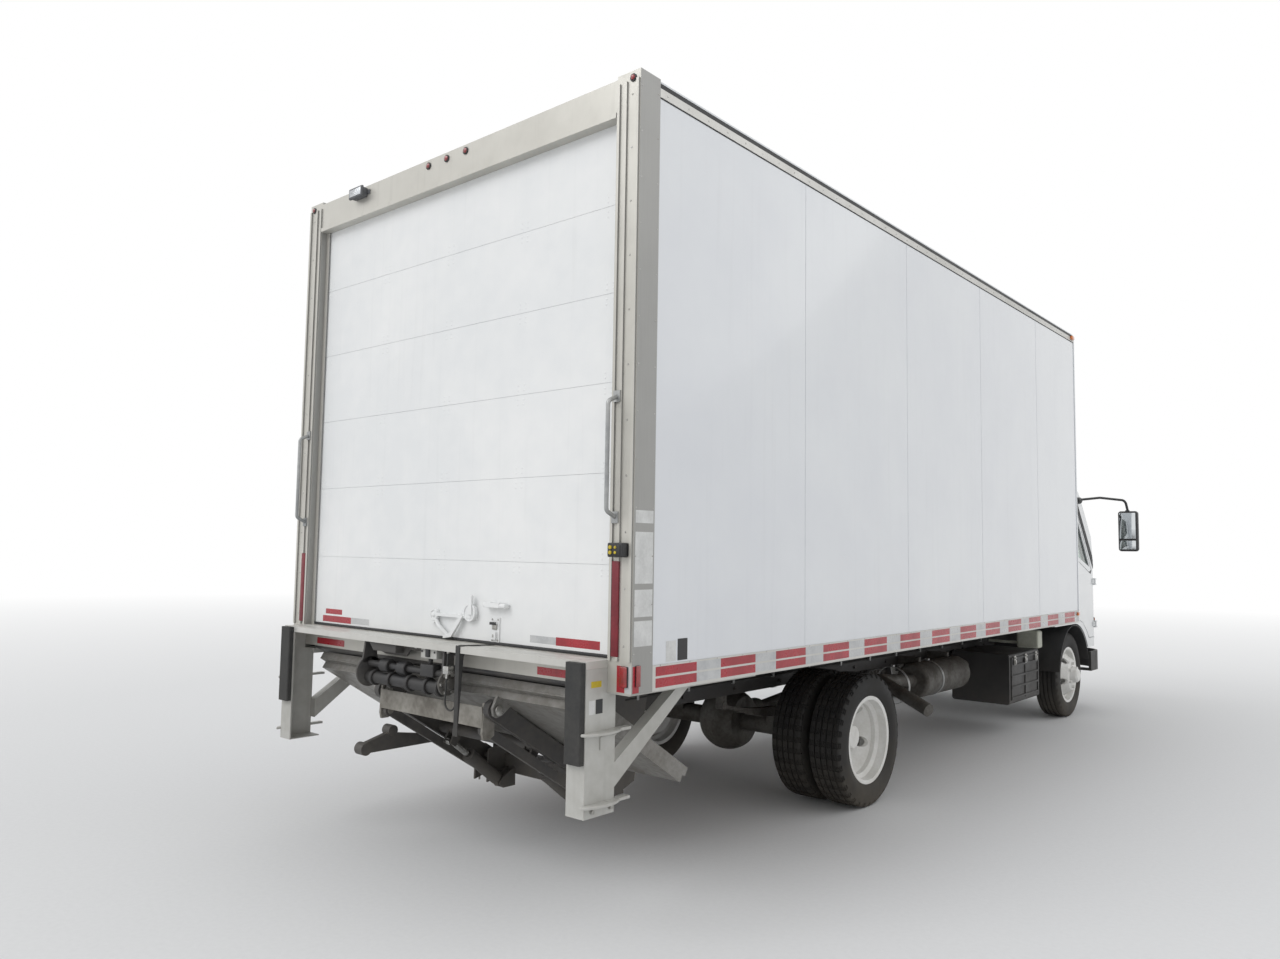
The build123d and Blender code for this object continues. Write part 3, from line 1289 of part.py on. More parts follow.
def gate_frame():
    """The fixed mounting: side plates on the frame rails, the tube between them and the opener."""
    s, z = GATE_PIVOT_STATION, GATE_PIVOT_HEIGHT
    base_s, base_z = CYLINDER_BASE
    tube_s0, tube_s1 = s + 85, s + 185
    parts = [block(-GATE_EAR_OUTER, GATE_EAR_OUTER, tube_s0, tube_s1, z - 100, z)]
    hanger = [
        (s + 70, z - 140), (s + 300, z - 60), (s + 420, FRAME_TOP - 30), (s + 130, FRAME_TOP - 30),
        (s + 130, z + 160), (s + 70, z + 60),
    ]
    ear = [(s - 45, z - 140), (s + 110, z - 100), (s + 110, z), (s + 30, z + 50), (s - 40, z + 40)]
    lug = [
        (tube_s0 + 5, z - 60), (tube_s0 + 5, base_z - 30), (base_s - 8, base_z - 30), (base_s - 30, base_z - 8),
        (base_s - 30, base_z + 12), (base_s - 8, base_z + 32),
    ]
    for side in (-1, 1):
        parts.append(plate_at(hanger, FRAME_HALF_WIDTH + SEAT_GAP + 7, 14, side))
        parts.append(plate_at(ear, GATE_EAR_OUTER - 6, 12, side))
        parts.append(plate_at(ear, GATE_EAR_INNER + 6, 12, side))
        parts.append(pin_at(GATE_PIN_RADIUS, s, z, GATE_EAR_INNER, GATE_EAR_OUTER, side))
        parts.append(pin_at(GATE_PIN_RADIUS, s, z - GATE_LINK_DROP, GATE_EAR_INNER, GATE_EAR_OUTER, side))
        for shift in (-28, 28):
            parts.append(plate_at(lug, CYLINDER_X + shift, 14, side))
        parts.append(pin_at(GATE_PIN_RADIUS, base_s, base_z, CYLINDER_X - 35, CYLINDER_X + 35, side))
    return fuse(parts + [opener()])


def opener():
    """The roller arm under the platform's left half."""
    x = OPENER_X
    arm = side_prism(
        [(880, 290), (830, 290), (420, 470), (-40, 470), (-40, 520), (110, 560), (330, 525), (880, 350)],
        x - 14, x + 14
    )
    rollers = [bar_x(radius, s, z, x - 32, x + 32) for s, z, radius in OPENER_ROLLERS]
    foot = block(GATE_EAR_OUTER - 6, x, 830, 880, 290, 350)
    return fuse([arm, foot] + rollers)


def lift_arms():
    """Both lift arms with their cross tube, hinge pins, platform rests and cylinder lugs."""
    s, z = GATE_PIVOT_STATION, GATE_PIVOT_HEIGHT
    half = GATE_ARM_DEPTH / 2
    x0, x1 = GATE_ARM_X - GATE_ARM_WIDTH / 2, GATE_ARM_X + GATE_ARM_WIDTH / 2
    tube_s, tube_z = gate_point(CYLINDER_REACH, 0)
    eye_s, eye_z = gate_point(CYLINDER_REACH, CYLINDER_DROP)
    parts = [bar_x(30, tube_s, tube_z, -GATE_ARM_X, GATE_ARM_X)]
    lug = [
        gate_point(CYLINDER_REACH + a, b) for a,
        b in ((-26, 0), (26, 0), (22, CYLINDER_DROP - 22), (-22, CYLINDER_DROP - 22))
    ]
    for side in (-1, 1):
        low, high = sorted((side * x0, side * x1))
        parts.append(arm_prism(0, ARM_LENGTH, -half, half, low, high))
        parts.append(bar_x(half, s, z, low, high))
        parts.append(bar_x(half, GATE_HINGE_STATION, GATE_HINGE_HEIGHT, low, high))
        parts.append(pin_at(GATE_PIN_RADIUS, GATE_HINGE_STATION, GATE_HINGE_HEIGHT, x0 - 26, x1 + 26, side))
        for reach in (250, 690):
            parts.append(arm_prism(reach, reach + 60, half - 2, PACK_LIFT - SEAT_GAP, low, high))
        for shift in (-26, 26):
            parts.append(plate_at(lug, CYLINDER_X + shift, 12, side))
        parts.append(pin_at(CYLINDER_PIN_RADIUS, eye_s, eye_z, CYLINDER_X - 32, CYLINDER_X + 32, side))
    shape = fuse(parts)
    for side in (-1, 1):
        shape -= pin_at(GATE_PIN_RADIUS + PIN_GAP, s, z, x0 - 5, x1 + 5, side)
    return shape


def platform_pack():
    """The folded platform on the arms: main deck, flip-over deck and hinge lugs."""
    middle = PACK_LIFT + PACK_FLIP_THICKNESS
    end = ARM_LENGTH + PACK_OVERHANG
    start = end - PACK_LENGTH
    flip = arm_prism(start + 20, end - 40, PACK_LIFT, middle, -PACK_HALF_WIDTH, PACK_HALF_WIDTH)
    main = arm_prism(start, end, middle, middle + PACK_MAIN_THICKNESS, -PACK_HALF_WIDTH, PACK_HALF_WIDTH)
    parts = [flip, main]
    lug_x = GATE_ARM_X + GATE_ARM_WIDTH / 2 + 14
    lug = [
        gate_point(ARM_LENGTH + a, b) for a,
        b in ((-34, -10), (-10, -34), (10, -34), (34, -10), (40, PACK_LIFT + 2), (-60, PACK_LIFT + 2))
    ]
    for side in (-1, 1):
        parts.append(plate_at(lug, lug_x, 14, side))
    shape = fuse(parts)
    for side in (-1, 1):
        shape -= pin_at(
            GATE_PIN_RADIUS + PIN_GAP, GATE_HINGE_STATION, GATE_HINGE_HEIGHT, lug_x - 12, lug_x + 12, side
        )
    return shape


def lift_link():
    """The left parallel link under its lift arm."""
    half = GATE_LINK_DEPTH / 2
    x0, x1 = GATE_LINK_X - GATE_LINK_WIDTH / 2, GATE_LINK_X + GATE_LINK_WIDTH / 2
    ends = (
        (GATE_PIVOT_STATION, GATE_PIVOT_HEIGHT - GATE_LINK_DROP),
        (GATE_HINGE_STATION, GATE_HINGE_HEIGHT - GATE_LINK_DROP),
    )
    bar = Pos(0, 0, -GATE_LINK_DROP) * arm_prism(0, ARM_LENGTH, -half, half, x0, x1)
    link = fuse([bar] + [bar_x(half + 6, s, z, x0, x1) for s, z in ends])
    for s, z in ends:
        link -= bar_x(GATE_PIN_RADIUS + PIN_GAP, s, z, x0 - 5, x1 + 5)
    return link


def lift_shackles():
    """The hinge brackets that stay level at the platform end, with the plate between them."""
    s, z = GATE_HINGE_STATION, GATE_HINGE_HEIGHT
    low = z - GATE_LINK_DROP
    outline = [
        (s - 30, z + 28), (s + 30, z + 28), (s + 34, low - 26), (s + 10, low - 40), (s - 30, low - 40),
        (s - 38, low - 10),
    ]
    parts = [block(-SHACKLE_X, SHACKLE_X, s - 38, s - 30, low + 15, z + 10)]
    for side in (-1, 1):
        parts.append(plate_at(outline, SHACKLE_X, SHACKLE_WIDTH, side))
        parts.append(
            pin_at(GATE_PIN_RADIUS, s, low, GATE_LINK_X - GATE_LINK_WIDTH / 2 - 6, SHACKLE_X, side)
        )
    shape = fuse(parts)
    for side in (-1, 1):
        shape -= pin_at(GATE_PIN_RADIUS + PIN_GAP, s, z, SHACKLE_X - 20, SHACKLE_X + 20, side)
    return shape


def cylinder_line():
    """The plane at the cylinder's base pin whose Z runs to the rod's eye, and their distance."""
    eye_s, eye_z = gate_point(CYLINDER_REACH, CYLINDER_DROP)
    base = Vector(0, at(CYLINDER_BASE[0]), CYLINDER_BASE[1])
    line = Vector(0, at(eye_s), eye_z) - base
    return Plane(origin=base, x_dir=(1, 0, 0), z_dir=line), line.length


def lift_barrel():
    """The left cylinder's barrel with its base eye."""
    frame, length = cylinder_line()
    base = (Align.CENTER, Align.CENTER, Align.MIN)
    start, bore_start, end = 40, 62, length - 150
    shape = fuse(
        [
            frame * Rot(0, 90, 0) * Cylinder(30, CYLINDER_EYE_WIDTH),
            frame * Pos(0, 0, start / 2) * Box(CYLINDER_EYE_WIDTH, 44, start + 10),
            frame * Pos(0, 0, start) * Cylinder(BARREL_RADIUS, end - start, align=base),
            frame * Pos(0, 0, end - 22) * Cylinder(BARREL_RADIUS + 2, 22, align=base),
        ]
    )
    shape -= frame * Pos(0, 0, bore_start) * Cylinder(ROD_RADIUS + PIN_GAP, end, align=base)
    shape -= frame * Rot(0, 90, 0) * Cylinder(GATE_PIN_RADIUS + PIN_GAP, 80)
    return Pos(CYLINDER_X, 0, 0) * shape


def lift_rod():
    """The left cylinder's rod with its eye, bored wide enough for the eye to wander on its pin."""
    frame, length = cylinder_line()
    base = (Align.CENTER, Align.CENTER, Align.MIN)
    start = 112
    shape = fuse(
        [
            frame * Pos(0, 0, start) * Cylinder(ROD_RADIUS, length - 20 - start, align=base),
            frame * Pos(0, 0, length) * Rot(0, 90, 0) * Cylinder(26, CYLINDER_EYE_WIDTH),
        ]
    )
    shape -= frame * Pos(0, 0, length) * Rot(0, 90, 0) * Cylinder(CYLINDER_PIN_RADIUS + EYE_DRIFT, 80)
    return Pos(CYLINDER_X, 0, 0) * shape


os.makedirs("parts", exist_ok=True)
shell, windshield, rear_glass, door_pair, glass_pair, lamps, grille = cab_parts()

save("cargo_floor", cargo_floor())
save("cross_members", cross_members())
save("body_walls", both_sides(side_wall()) + [front_wall()])
save("roof_panel", roof_panel())
top_rails = perimeter_rail(BODY_TOP - TOP_RAIL_HEIGHT, BODY_TOP - SEAT_GAP)
save("body_rails", top_rails + perimeter_rail(RAIL_BOTTOM, RAIL_TOP))
save("front_posts", both_sides(front_post()))
save("rear_frame", rear_frame())
save("roll_up_door", roll_up_door())
save("door_hardware", door_hardware())
save("grab_handles", both_sides(grab_handle()))
save("rear_lamps", rear_lamps())
save("bed_extension", bed_extension())
save("corner_brackets", both_sides(corner_bracket()))
save("bumper_pads", both_sides(bumper_pad()))
save("chassis_frame", chassis_frame())
save("leaf_springs", leaf_springs())
save("knuckle_left", knuckle())
save("knuckle_right", mirror(knuckle(), about=Plane.YZ))
save("tie_rod", tie_rod())
save("front_rim_left", front_rim())
save("front_rim_right", mirror(front_rim(), about=Plane.YZ))
save("front_tyre_left", tyre(FRONT_WHEEL_X, FRONT_AXLE_STATION))
save("front_tyre_right", tyre(-FRONT_WHEEL_X, FRONT_AXLE_STATION))
save("rear_rims_left", rear_rims())
save("rear_rims_right", mirror(rear_rims(), about=Plane.YZ))
for side, name in ((1, "left"), (-1, "right")):
    pair = [tyre(side * REAR_PAIR_X + shift, REAR_AXLE_STATION) for shift in (-WHEEL_OFFSET, WHEEL_OFFSET)]
    save(f"rear_tyres_{name}", pair)
save("axles", [front_axle(), rear_axle()])
save("engine_block", engine_block())
save("driveline", driveline())
save("fuel_tank", fuel_tank())
save("battery_box", battery_box())
save("exhaust", exhaust())
save("coolant_tank", coolant_tank())
pan = shell.solids().filter_by(lambda solid: solid.bounding_box().max.Z < PAN_SEAM + 1)
tunnel = shell.solids().filter_by(lambda solid: solid.bounding_box().max.X < TUNNEL_HALF_WIDTH + 1)
tunnel = tunnel.filter_by(lambda solid: solid.bounding_box().min.X > -TUNNEL_HALF_WIDTH - 1)
save("cab_shell", [solid for solid in shell.solids() if solid not in pan + tunnel])
save("cab_pan", pan)
save("engine_tunnel", tunnel)
save("cab_glass", [windshield, rear_glass])
for side, name in ((1, "left"), (-1, "right")):
    half_space = Pos(side * 2000, 0, 1500) * Box(4000, 12000, 3000)
    save(f"cab_door_{name}", door_pair & half_space)
    save(f"door_glass_{name}", glass_pair & half_space)
save("headlamps", lamps)
save("grille", grille)
save("front_bumper", front_bumper())
save("cab_mounts", cab_mounts())
save("front_fenders", both_sides(front_fender()))
save("cab_seats", cab_seats())
save("dashboard", dashboard())
save("mirrors", both_sides(mirror_arm_and_head()))
save("gate_frame", gate_frame())
save("lift_arms", lift_arms())
save("platform_pack", platform_pack())
save("lift_links", both_sides(lift_link()))
save("lift_shackles", lift_shackles())
save("lift_barrels", both_sides(lift_barrel()))
save("lift_rods", both_sides(lift_rod()))
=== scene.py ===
"""Looks of a box truck with a tuck-under liftgate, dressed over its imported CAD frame.

Metres throughout: +X is the truck's left side, -Y its front and +Z up.
"""

import json
import logging
import math
from collections.abc import Callable, Iterable, Mapping, Sequence
from dataclasses import dataclass
from enum import Enum
from functools import cache, reduce

import bmesh
import bpy
from mathutils import Matrix, Vector
from mathutils.bvhtree import BVHTree

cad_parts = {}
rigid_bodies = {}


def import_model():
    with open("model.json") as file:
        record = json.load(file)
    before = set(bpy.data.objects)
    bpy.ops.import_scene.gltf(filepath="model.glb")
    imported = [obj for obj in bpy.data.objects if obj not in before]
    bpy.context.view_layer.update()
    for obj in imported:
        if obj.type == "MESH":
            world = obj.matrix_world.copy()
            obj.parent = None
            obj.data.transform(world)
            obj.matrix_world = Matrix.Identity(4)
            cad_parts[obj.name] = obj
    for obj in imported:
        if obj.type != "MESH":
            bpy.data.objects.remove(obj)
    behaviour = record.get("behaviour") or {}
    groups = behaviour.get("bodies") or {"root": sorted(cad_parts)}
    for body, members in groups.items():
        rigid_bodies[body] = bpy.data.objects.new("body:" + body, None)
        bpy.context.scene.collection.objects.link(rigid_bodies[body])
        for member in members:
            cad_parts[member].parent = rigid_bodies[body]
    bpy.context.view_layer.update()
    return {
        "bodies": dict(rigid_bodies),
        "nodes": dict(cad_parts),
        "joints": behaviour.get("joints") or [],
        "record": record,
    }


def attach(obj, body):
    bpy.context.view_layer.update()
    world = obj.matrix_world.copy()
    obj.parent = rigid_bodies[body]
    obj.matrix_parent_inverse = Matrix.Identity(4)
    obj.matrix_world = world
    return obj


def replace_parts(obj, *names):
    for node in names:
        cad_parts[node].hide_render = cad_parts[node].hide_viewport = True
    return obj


LOG = logging.getLogger("box_truck")
ROOT = "root"
CAB = "cab"
ARMS = "lift_arms"
SIDES = ((-1, "right"), (1, "left"))

Point = tuple[float, float, float]
Rgb = tuple[int, int, int]
Outline = Sequence[tuple[float, float]]
Socket = bpy.types.NodeSocket


def shade(colour: Rgb) -> tuple[float, ...]:
    """Turns a colour as seen on a screen (0 to 255) into the linear colour that nodes use."""
    parts = [value / 255 for value in colour]
    return (*(p / 12.92 if p <= 0.04045 else ((p + 0.055) / 1.055) ** 2.4 for p in parts), 1.0)


WHITE = shade((255, 255, 255))
ROAD_DIRT = shade((118, 110, 98))
RAIN_DIRT = shade((120, 118, 112))
GLASS_FILM = shade((190, 188, 180))
STREAK_SCALE = 26.0
WEAR_SCALE = 55.0
DUST_SCALE = 6.0
COAT_ROUGHNESS = 0.06


# Materials
class Wiring:
    """Adds and joins the nodes of one material, world or node group."""

    def __init__(self, tree: bpy.types.NodeTree) -> None:
        self.tree = tree

    def feed(self, node: bpy.types.Node, inputs: Mapping[int | str, object]) -> None:
        """Joins sockets to a node's inputs and sets plain values, by socket name or number."""
        for key, value in inputs.items():
            if isinstance(value, Socket):
                self.tree.links.new(value, node.inputs[key])
            else:
                node.inputs[key].default_value = value

    def node(
        self, kind: str, inputs: Mapping[int | str, object] | None = None, **settings: object
    ) -> bpy.types.Node:
        """Adds one node.

        Args:
            kind: the node's type without its ShaderNode prefix.
            inputs: sockets to join and plain values to set, by socket name or number.
            settings: the node's own properties.

        Returns:
            The new node.
        """
        made = self.tree.nodes.new(f"ShaderNode{kind}")
        for name, value in settings.items():
            setattr(made, name, value)
        self.feed(made, inputs or {})
        return made

    def math(self, operation: str, *values: object, clamp: bool = False) -> Socket:
        """The result of a Math node on sockets or numbers."""
        made = self.node("Math", dict(enumerate(values)), operation=operation, use_clamp=clamp)
        return made.outputs[0]

    def product(self, *values: object, clamp: bool = False) -> Socket:
        """The product of sockets and numbers, kept within 0 and 1 where clamp is set."""
        result = reduce(lambda first, second: self.math("MULTIPLY", first, second), values)
        result.node.use_clamp = clamp
        return result

    def mixed(self, factor: object, first: object, second: object) -> Socket:
        """A colour between two colours."""
        return self.node("Mix", {0: factor, 6: first, 7: second}, data_type="RGBA").outputs[2]

    def remap(
        self, value: Socket, low: object, high: float, to_low: float = 0.0, to_high: float = 1.0
    ) -> Socket:
        """A value moved from one range to another and kept within it."""
        ends = {"From Min": low, "From Max": high, "To Min": to_low, "To Max": to_high}
        return self.node("MapRange", {"Value": value, **ends}).outputs[0]

    def noise(self, scale: object, detail: float = 4.0, vector: Socket | None = None) -> Socket:
        """A noise value at a scale, on the piece's own coordinates or a given vector."""
        given = vector or self.place()
        inputs = {"Vector": given, "Scale": scale, "Detail": detail, "Roughness": 0.55}
        return self.node("TexNoise", inputs).outputs[0]

    def cells(self, scale: object, randomness: float, **settings: object) -> bpy.types.Node:
        """A node that cuts the surface into cells."""
        inputs = {"Vector": self.place(), "Scale": scale, "Randomness": randomness}
        return self.node("TexVoronoi", inputs, **settings)

    def waves(self, scale: object, direction: str, distortion: float = 0.0) -> Socket:
        """Bands across a direction."""
        inputs = {"Vector": self.place(), "Scale": scale, "Distortion": distortion}
        return self.node("TexWave", inputs, bands_direction=direction).outputs[1]

    def bump(self, height: Socket, depth: float) -> Socket:
        """The normal that a height pattern of some depth gives."""
        return self.node("Bump", {"Height": height, "Distance": depth, "Strength": 1.0}).outputs[0]

    def stretched(self, stretch: object) -> Socket:
        """The piece's coordinates scaled by different amounts along X, Y and Z."""
        return self.node("Mapping", {"Vector": self.place(), "Scale": stretch}).outputs[0]

    def place(self) -> Socket:
        """The piece's own coordinates."""
        return self.node("TexCoord").outputs["Object"]

    def effect(self, effect: "Effect", **values: object) -> Socket:
        """Places a shared effect with its own values and returns its output."""
        made = self.node("Group", node_tree=effect.group())
        self.feed(made, {key.capitalize(): value for key, value in values.items()})
        return made.outputs[0]


@dataclass(frozen=True)
class Effect:
    """A surface effect that several finishes share, kept as one node group.

    Args:
        recipe: adds the nodes, given the wiring and the group's inputs by name.
        output: the output's name.
        inputs: each input's name and starting value; three numbers make a vector input.
    """

    recipe: Callable[..., Socket]
    output: str
    inputs: tuple[tuple[str, float | Point], ...]

    @cache
    def group(self) -> bpy.types.NodeTree:
        """The node group, built on first use."""
        tree = bpy.data.node_groups.new(self.recipe.__name__, "ShaderNodeTree")
        for name, value in self.inputs:
            kind = "NodeSocketVector" if isinstance(value, tuple) else "NodeSocketFloat"
            tree.interface.new_socket(name, in_out="INPUT", socket_type=kind).default_value = value
        tree.interface.new_socket(self.output, in_out="OUTPUT", socket_type="NodeSocketFloat")
        given = tree.nodes.new("NodeGroupInput").outputs
        result = self.recipe(Wiring(tree), **{name.lower(): given[name] for name, _ in self.inputs})
        tree.links.new(result, tree.nodes.new("NodeGroupOutput").inputs[0])
        return tree


def shared(output: str, **inputs: float | Point) -> Callable[[Callable[..., Socket]], Effect]:
    """Makes a recipe a shared effect, with its output's name and its inputs' starting values."""
    return lambda recipe: Effect(recipe, output, tuple(inputs.items()))


@shared("Mask", Scale=3.0)
def uneven_tone(w: Wiring, scale: Socket) -> Socket:
    """Soft clouds of tone from two sizes of noise."""
    broad, fine = w.noise(scale, 3.0), w.noise(w.product(scale, 7.3), 5.0)
    return w.remap(w.math("ADD", w.product(broad, 0.65), w.product(fine, 0.35)), 0.38, 0.62)


@shared("Mask", Top=1.2, Scale=5.0, Strength=0.4)
def road_dust(w: Wiring, top: Socket, scale: Socket, strength: Socket) -> Socket:
    """Dust that is thickest near the ground and breaks up with height."""
    height = w.node("SeparateXYZ", {0: w.place()}).outputs[2]
    fall = w.math("POWER", w.remap(height, top, 0.0), 1.6)
    patches = w.remap(w.noise(scale, 6.0), 0.3, 0.75, 0.25, 1.0)
    return w.product(fall, patches, strength, clamp=True)


@shared("Mask", Scale=30.0, Strength=0.3)
def water_streaks(w: Wiring, scale: Socket, strength: Socket) -> Socket:
    """Faint runs of dirt that rain leaves down an upright face."""
    runs = w.noise(scale, 3.0, w.stretched((1.0, 1.0, 0.035)))
    return w.product(w.remap(runs, 0.56, 0.74), w.noise(2.2, 3.0), strength, clamp=True)


@shared("Mask", Radius=0.004, Scale=60.0, Strength=0.6)
def edge_wear(w: Wiring, radius: Socket, scale: Socket, strength: Socket) -> Socket:
    """Wear where a bevelled normal leaves the face's own normal, broken by noise."""
    soft = w.node("Bevel", {"Radius": radius}, samples=4).outputs[0]
    sharp = w.node("NewGeometry").outputs["Normal"]
    same = w.node("VectorMath", {0: soft, 1: sharp}, operation="DOT_PRODUCT").outputs["Value"]
    chips = w.remap(w.noise(scale, 5.0), 0.42, 0.62)
    return w.product(w.remap(same, 0.98, 0.8), chips, strength, clamp=True)


@shared("Height", Scale=400.0)
def fine_grain(w: Wiring, scale: Socket) -> Socket:
    """Small bumps, as of paint, cast metal or moulded plastic."""
    coarse, fine = w.noise(scale, 2.0), w.noise(w.product(scale, 3.1), 2.0)
    return w.math("ADD", w.product(coarse, 0.6), w.product(fine, 0.4))


@shared("Height", Stretch=(1.0, 1.0, 1.0), Scale=300.0)
def brushed_lines(w: Wiring, stretch: Socket, scale: Socket) -> Socket:
    """Long scratches along one direction."""
    return w.noise(scale, 3.0, w.stretched(stretch))


@shared("Mask", Scale=90.0)
def zinc_spangle(w: Wiring, scale: Socket) -> Socket:
    """Flat crystals of a zinc coat, each with its own tone."""
    return w.node("SeparateColor", {0: w.cells(scale, 1.0).outputs["Color"]}).outputs[0]


@shared("Mask", Scale=330.0)
def tape_prisms(w: Wiring, scale: Socket) -> Socket:
    """The sealed cells of prismatic tape."""
    edges = w.cells(scale, 0.0, feature="DISTANCE_TO_EDGE").outputs["Distance"]
    return w.remap(edges, 0.02, 0.12)


@shared("Height", Scale=240.0)
def cloth_weave(w: Wiring, scale: Socket) -> Socket:
    """Crossed threads."""
    return w.product(w.math("ADD", *(w.waves(scale, way, 0.6) for way in "XZ")), 0.5)


def principled(name: str) -> tuple[bpy.types.Material, Wiring, bpy.types.Node]:
    """A new material, with its wiring and its shader node."""
    made = bpy.data.materials.new(name)
    made.use_nodes = True
    return made, Wiring(made.node_tree), made.node_tree.nodes["Principled BSDF"]


@dataclass(frozen=True)
class Finish:
    """One surface finish, built as a node material when first used.

    Args:
        name: the material's name.
        slot: the record's material slot that it dresses.
        colour: main colour.
        second: the colour that the tone drifts towards.
        tone_scale: how many clouds of tone to a metre.
        roughness: lowest and highest roughness.
        scale: how fine the relief's pattern is.
        relief: depth of the relief in metres.
        pattern: the shared effect that makes the relief.
        stretch: makes the relief brushed lines, along the axis with the small number.
        marked: how strongly the pattern also shifts the colour towards the second colour.
        metallic: 1 for bare metal.
        coat: clear coat weight.
        dust: strength and upper height of road dust.
        streaks: strength of rain streaks.
        wear: strength and radius of edge wear.
        bare: what shows through the wear.
        specular: specular level.
        painted_side_shade: painted shade, a darker colour for faces that look to the truck's sides,
            where it differs.
    """

    name: str
    slot: str
    colour: Rgb
    second: Rgb
    tone_scale: float
    roughness: tuple[float, float]
    scale: float
    relief: float
    pattern: Effect = fine_grain
    stretch: Point | None = None
    marked: float = 0.0
    metallic: float = 0.0
    coat: float = 0.0
    dust: tuple[float, float] | None = None
    streaks: float = 0.0
    wear: tuple[float, float] | None = None
    bare: Rgb = (128, 126, 122)
    specular: float = 0.5
    painted_side_shade: Rgb | None = None

    @cache
    def material(self) -> bpy.types.Material:
        """The node material of this finish."""
        made, w, shader = principled(self.name)
        tone = w.effect(uneven_tone, scale=self.tone_scale)
        if self.stretch:
            pattern = w.effect(brushed_lines, stretch=self.stretch, scale=self.scale)
        else:
            pattern = w.effect(self.pattern, scale=self.scale)
        second = shade(self.second)
        colour = w.mixed(tone, shade(self.colour), second)
        # Painted shade: faces that look to the truck's sides are mixed towards a darker colour,
        # standing in for the weaker light on them.
        if self.painted_side_shade:
            normal = w.node("NewGeometry").outputs["Normal"]
            side_shade_mask = w.math("ABSOLUTE", w.node("SeparateXYZ", {0: normal}).outputs[0])
            colour = w.mixed(w.remap(side_shade_mask, 0.5, 0.9), colour, shade(self.painted_side_shade))
        rough = w.remap(tone, 0.0, 1.0, *self.roughness)
        if self.marked:
            colour = w.mixed(w.product(pattern, self.marked), colour, second)
        if self.streaks:
            streaks = w.effect(water_streaks, scale=STREAK_SCALE, strength=self.streaks)
            colour = w.mixed(streaks, colour, RAIN_DIRT)
        if self.wear:
            strength, radius = self.wear
            worn = w.effect(edge_wear, radius=radius, scale=WEAR_SCALE, strength=strength)
            colour = w.mixed(worn, colour, shade(self.bare))
            rough = w.math("ADD", rough, w.product(worn, 0.1))
        if self.dust:
            strength, top = self.dust
            dust = w.effect(road_dust, top=top, scale=DUST_SCALE, strength=strength)
            colour = w.mixed(dust, colour, ROAD_DIRT)
            rough = w.math("ADD", rough, w.product(dust, 0.35), clamp=True)
        w.feed(shader, {
            "Base Color": colour, "Roughness": rough, "Normal": w.bump(pattern, self.relief),
            "Metallic": self.metallic, "Coat Weight": self.coat, "Coat Roughness": COAT_ROUGHNESS,
            "Specular IOR Level": self.specular,
        })
        return made


@dataclass(frozen=True)
class ClearFinish:
    """Glass or a clear moulded lens, slightly soiled.

    Args:
        name: the material's name.
        slot: the record's material slot that it dresses.
        colour: the colour it tints light with.
        roughness: lowest and highest roughness.
        transmission: how much light passes.
    """

    name: str
    slot: str
    colour: Rgb
    roughness: tuple[float, float]
    transmission: float = 1.0

    @cache
    def material(self) -> bpy.types.Material:
        """The node material of this finish."""
        made, w, shader = principled(self.name)
        tone = w.effect(uneven_tone, scale=4.0)
        w.feed(shader, {
            "Base Color": w.mixed(w.product(tone, 0.06), shade(self.colour), GLASS_FILM),
            "Roughness": w.remap(tone, 0.0, 1.0, *self.roughness),
            "Transmission Weight": self.transmission,
        })
        return made


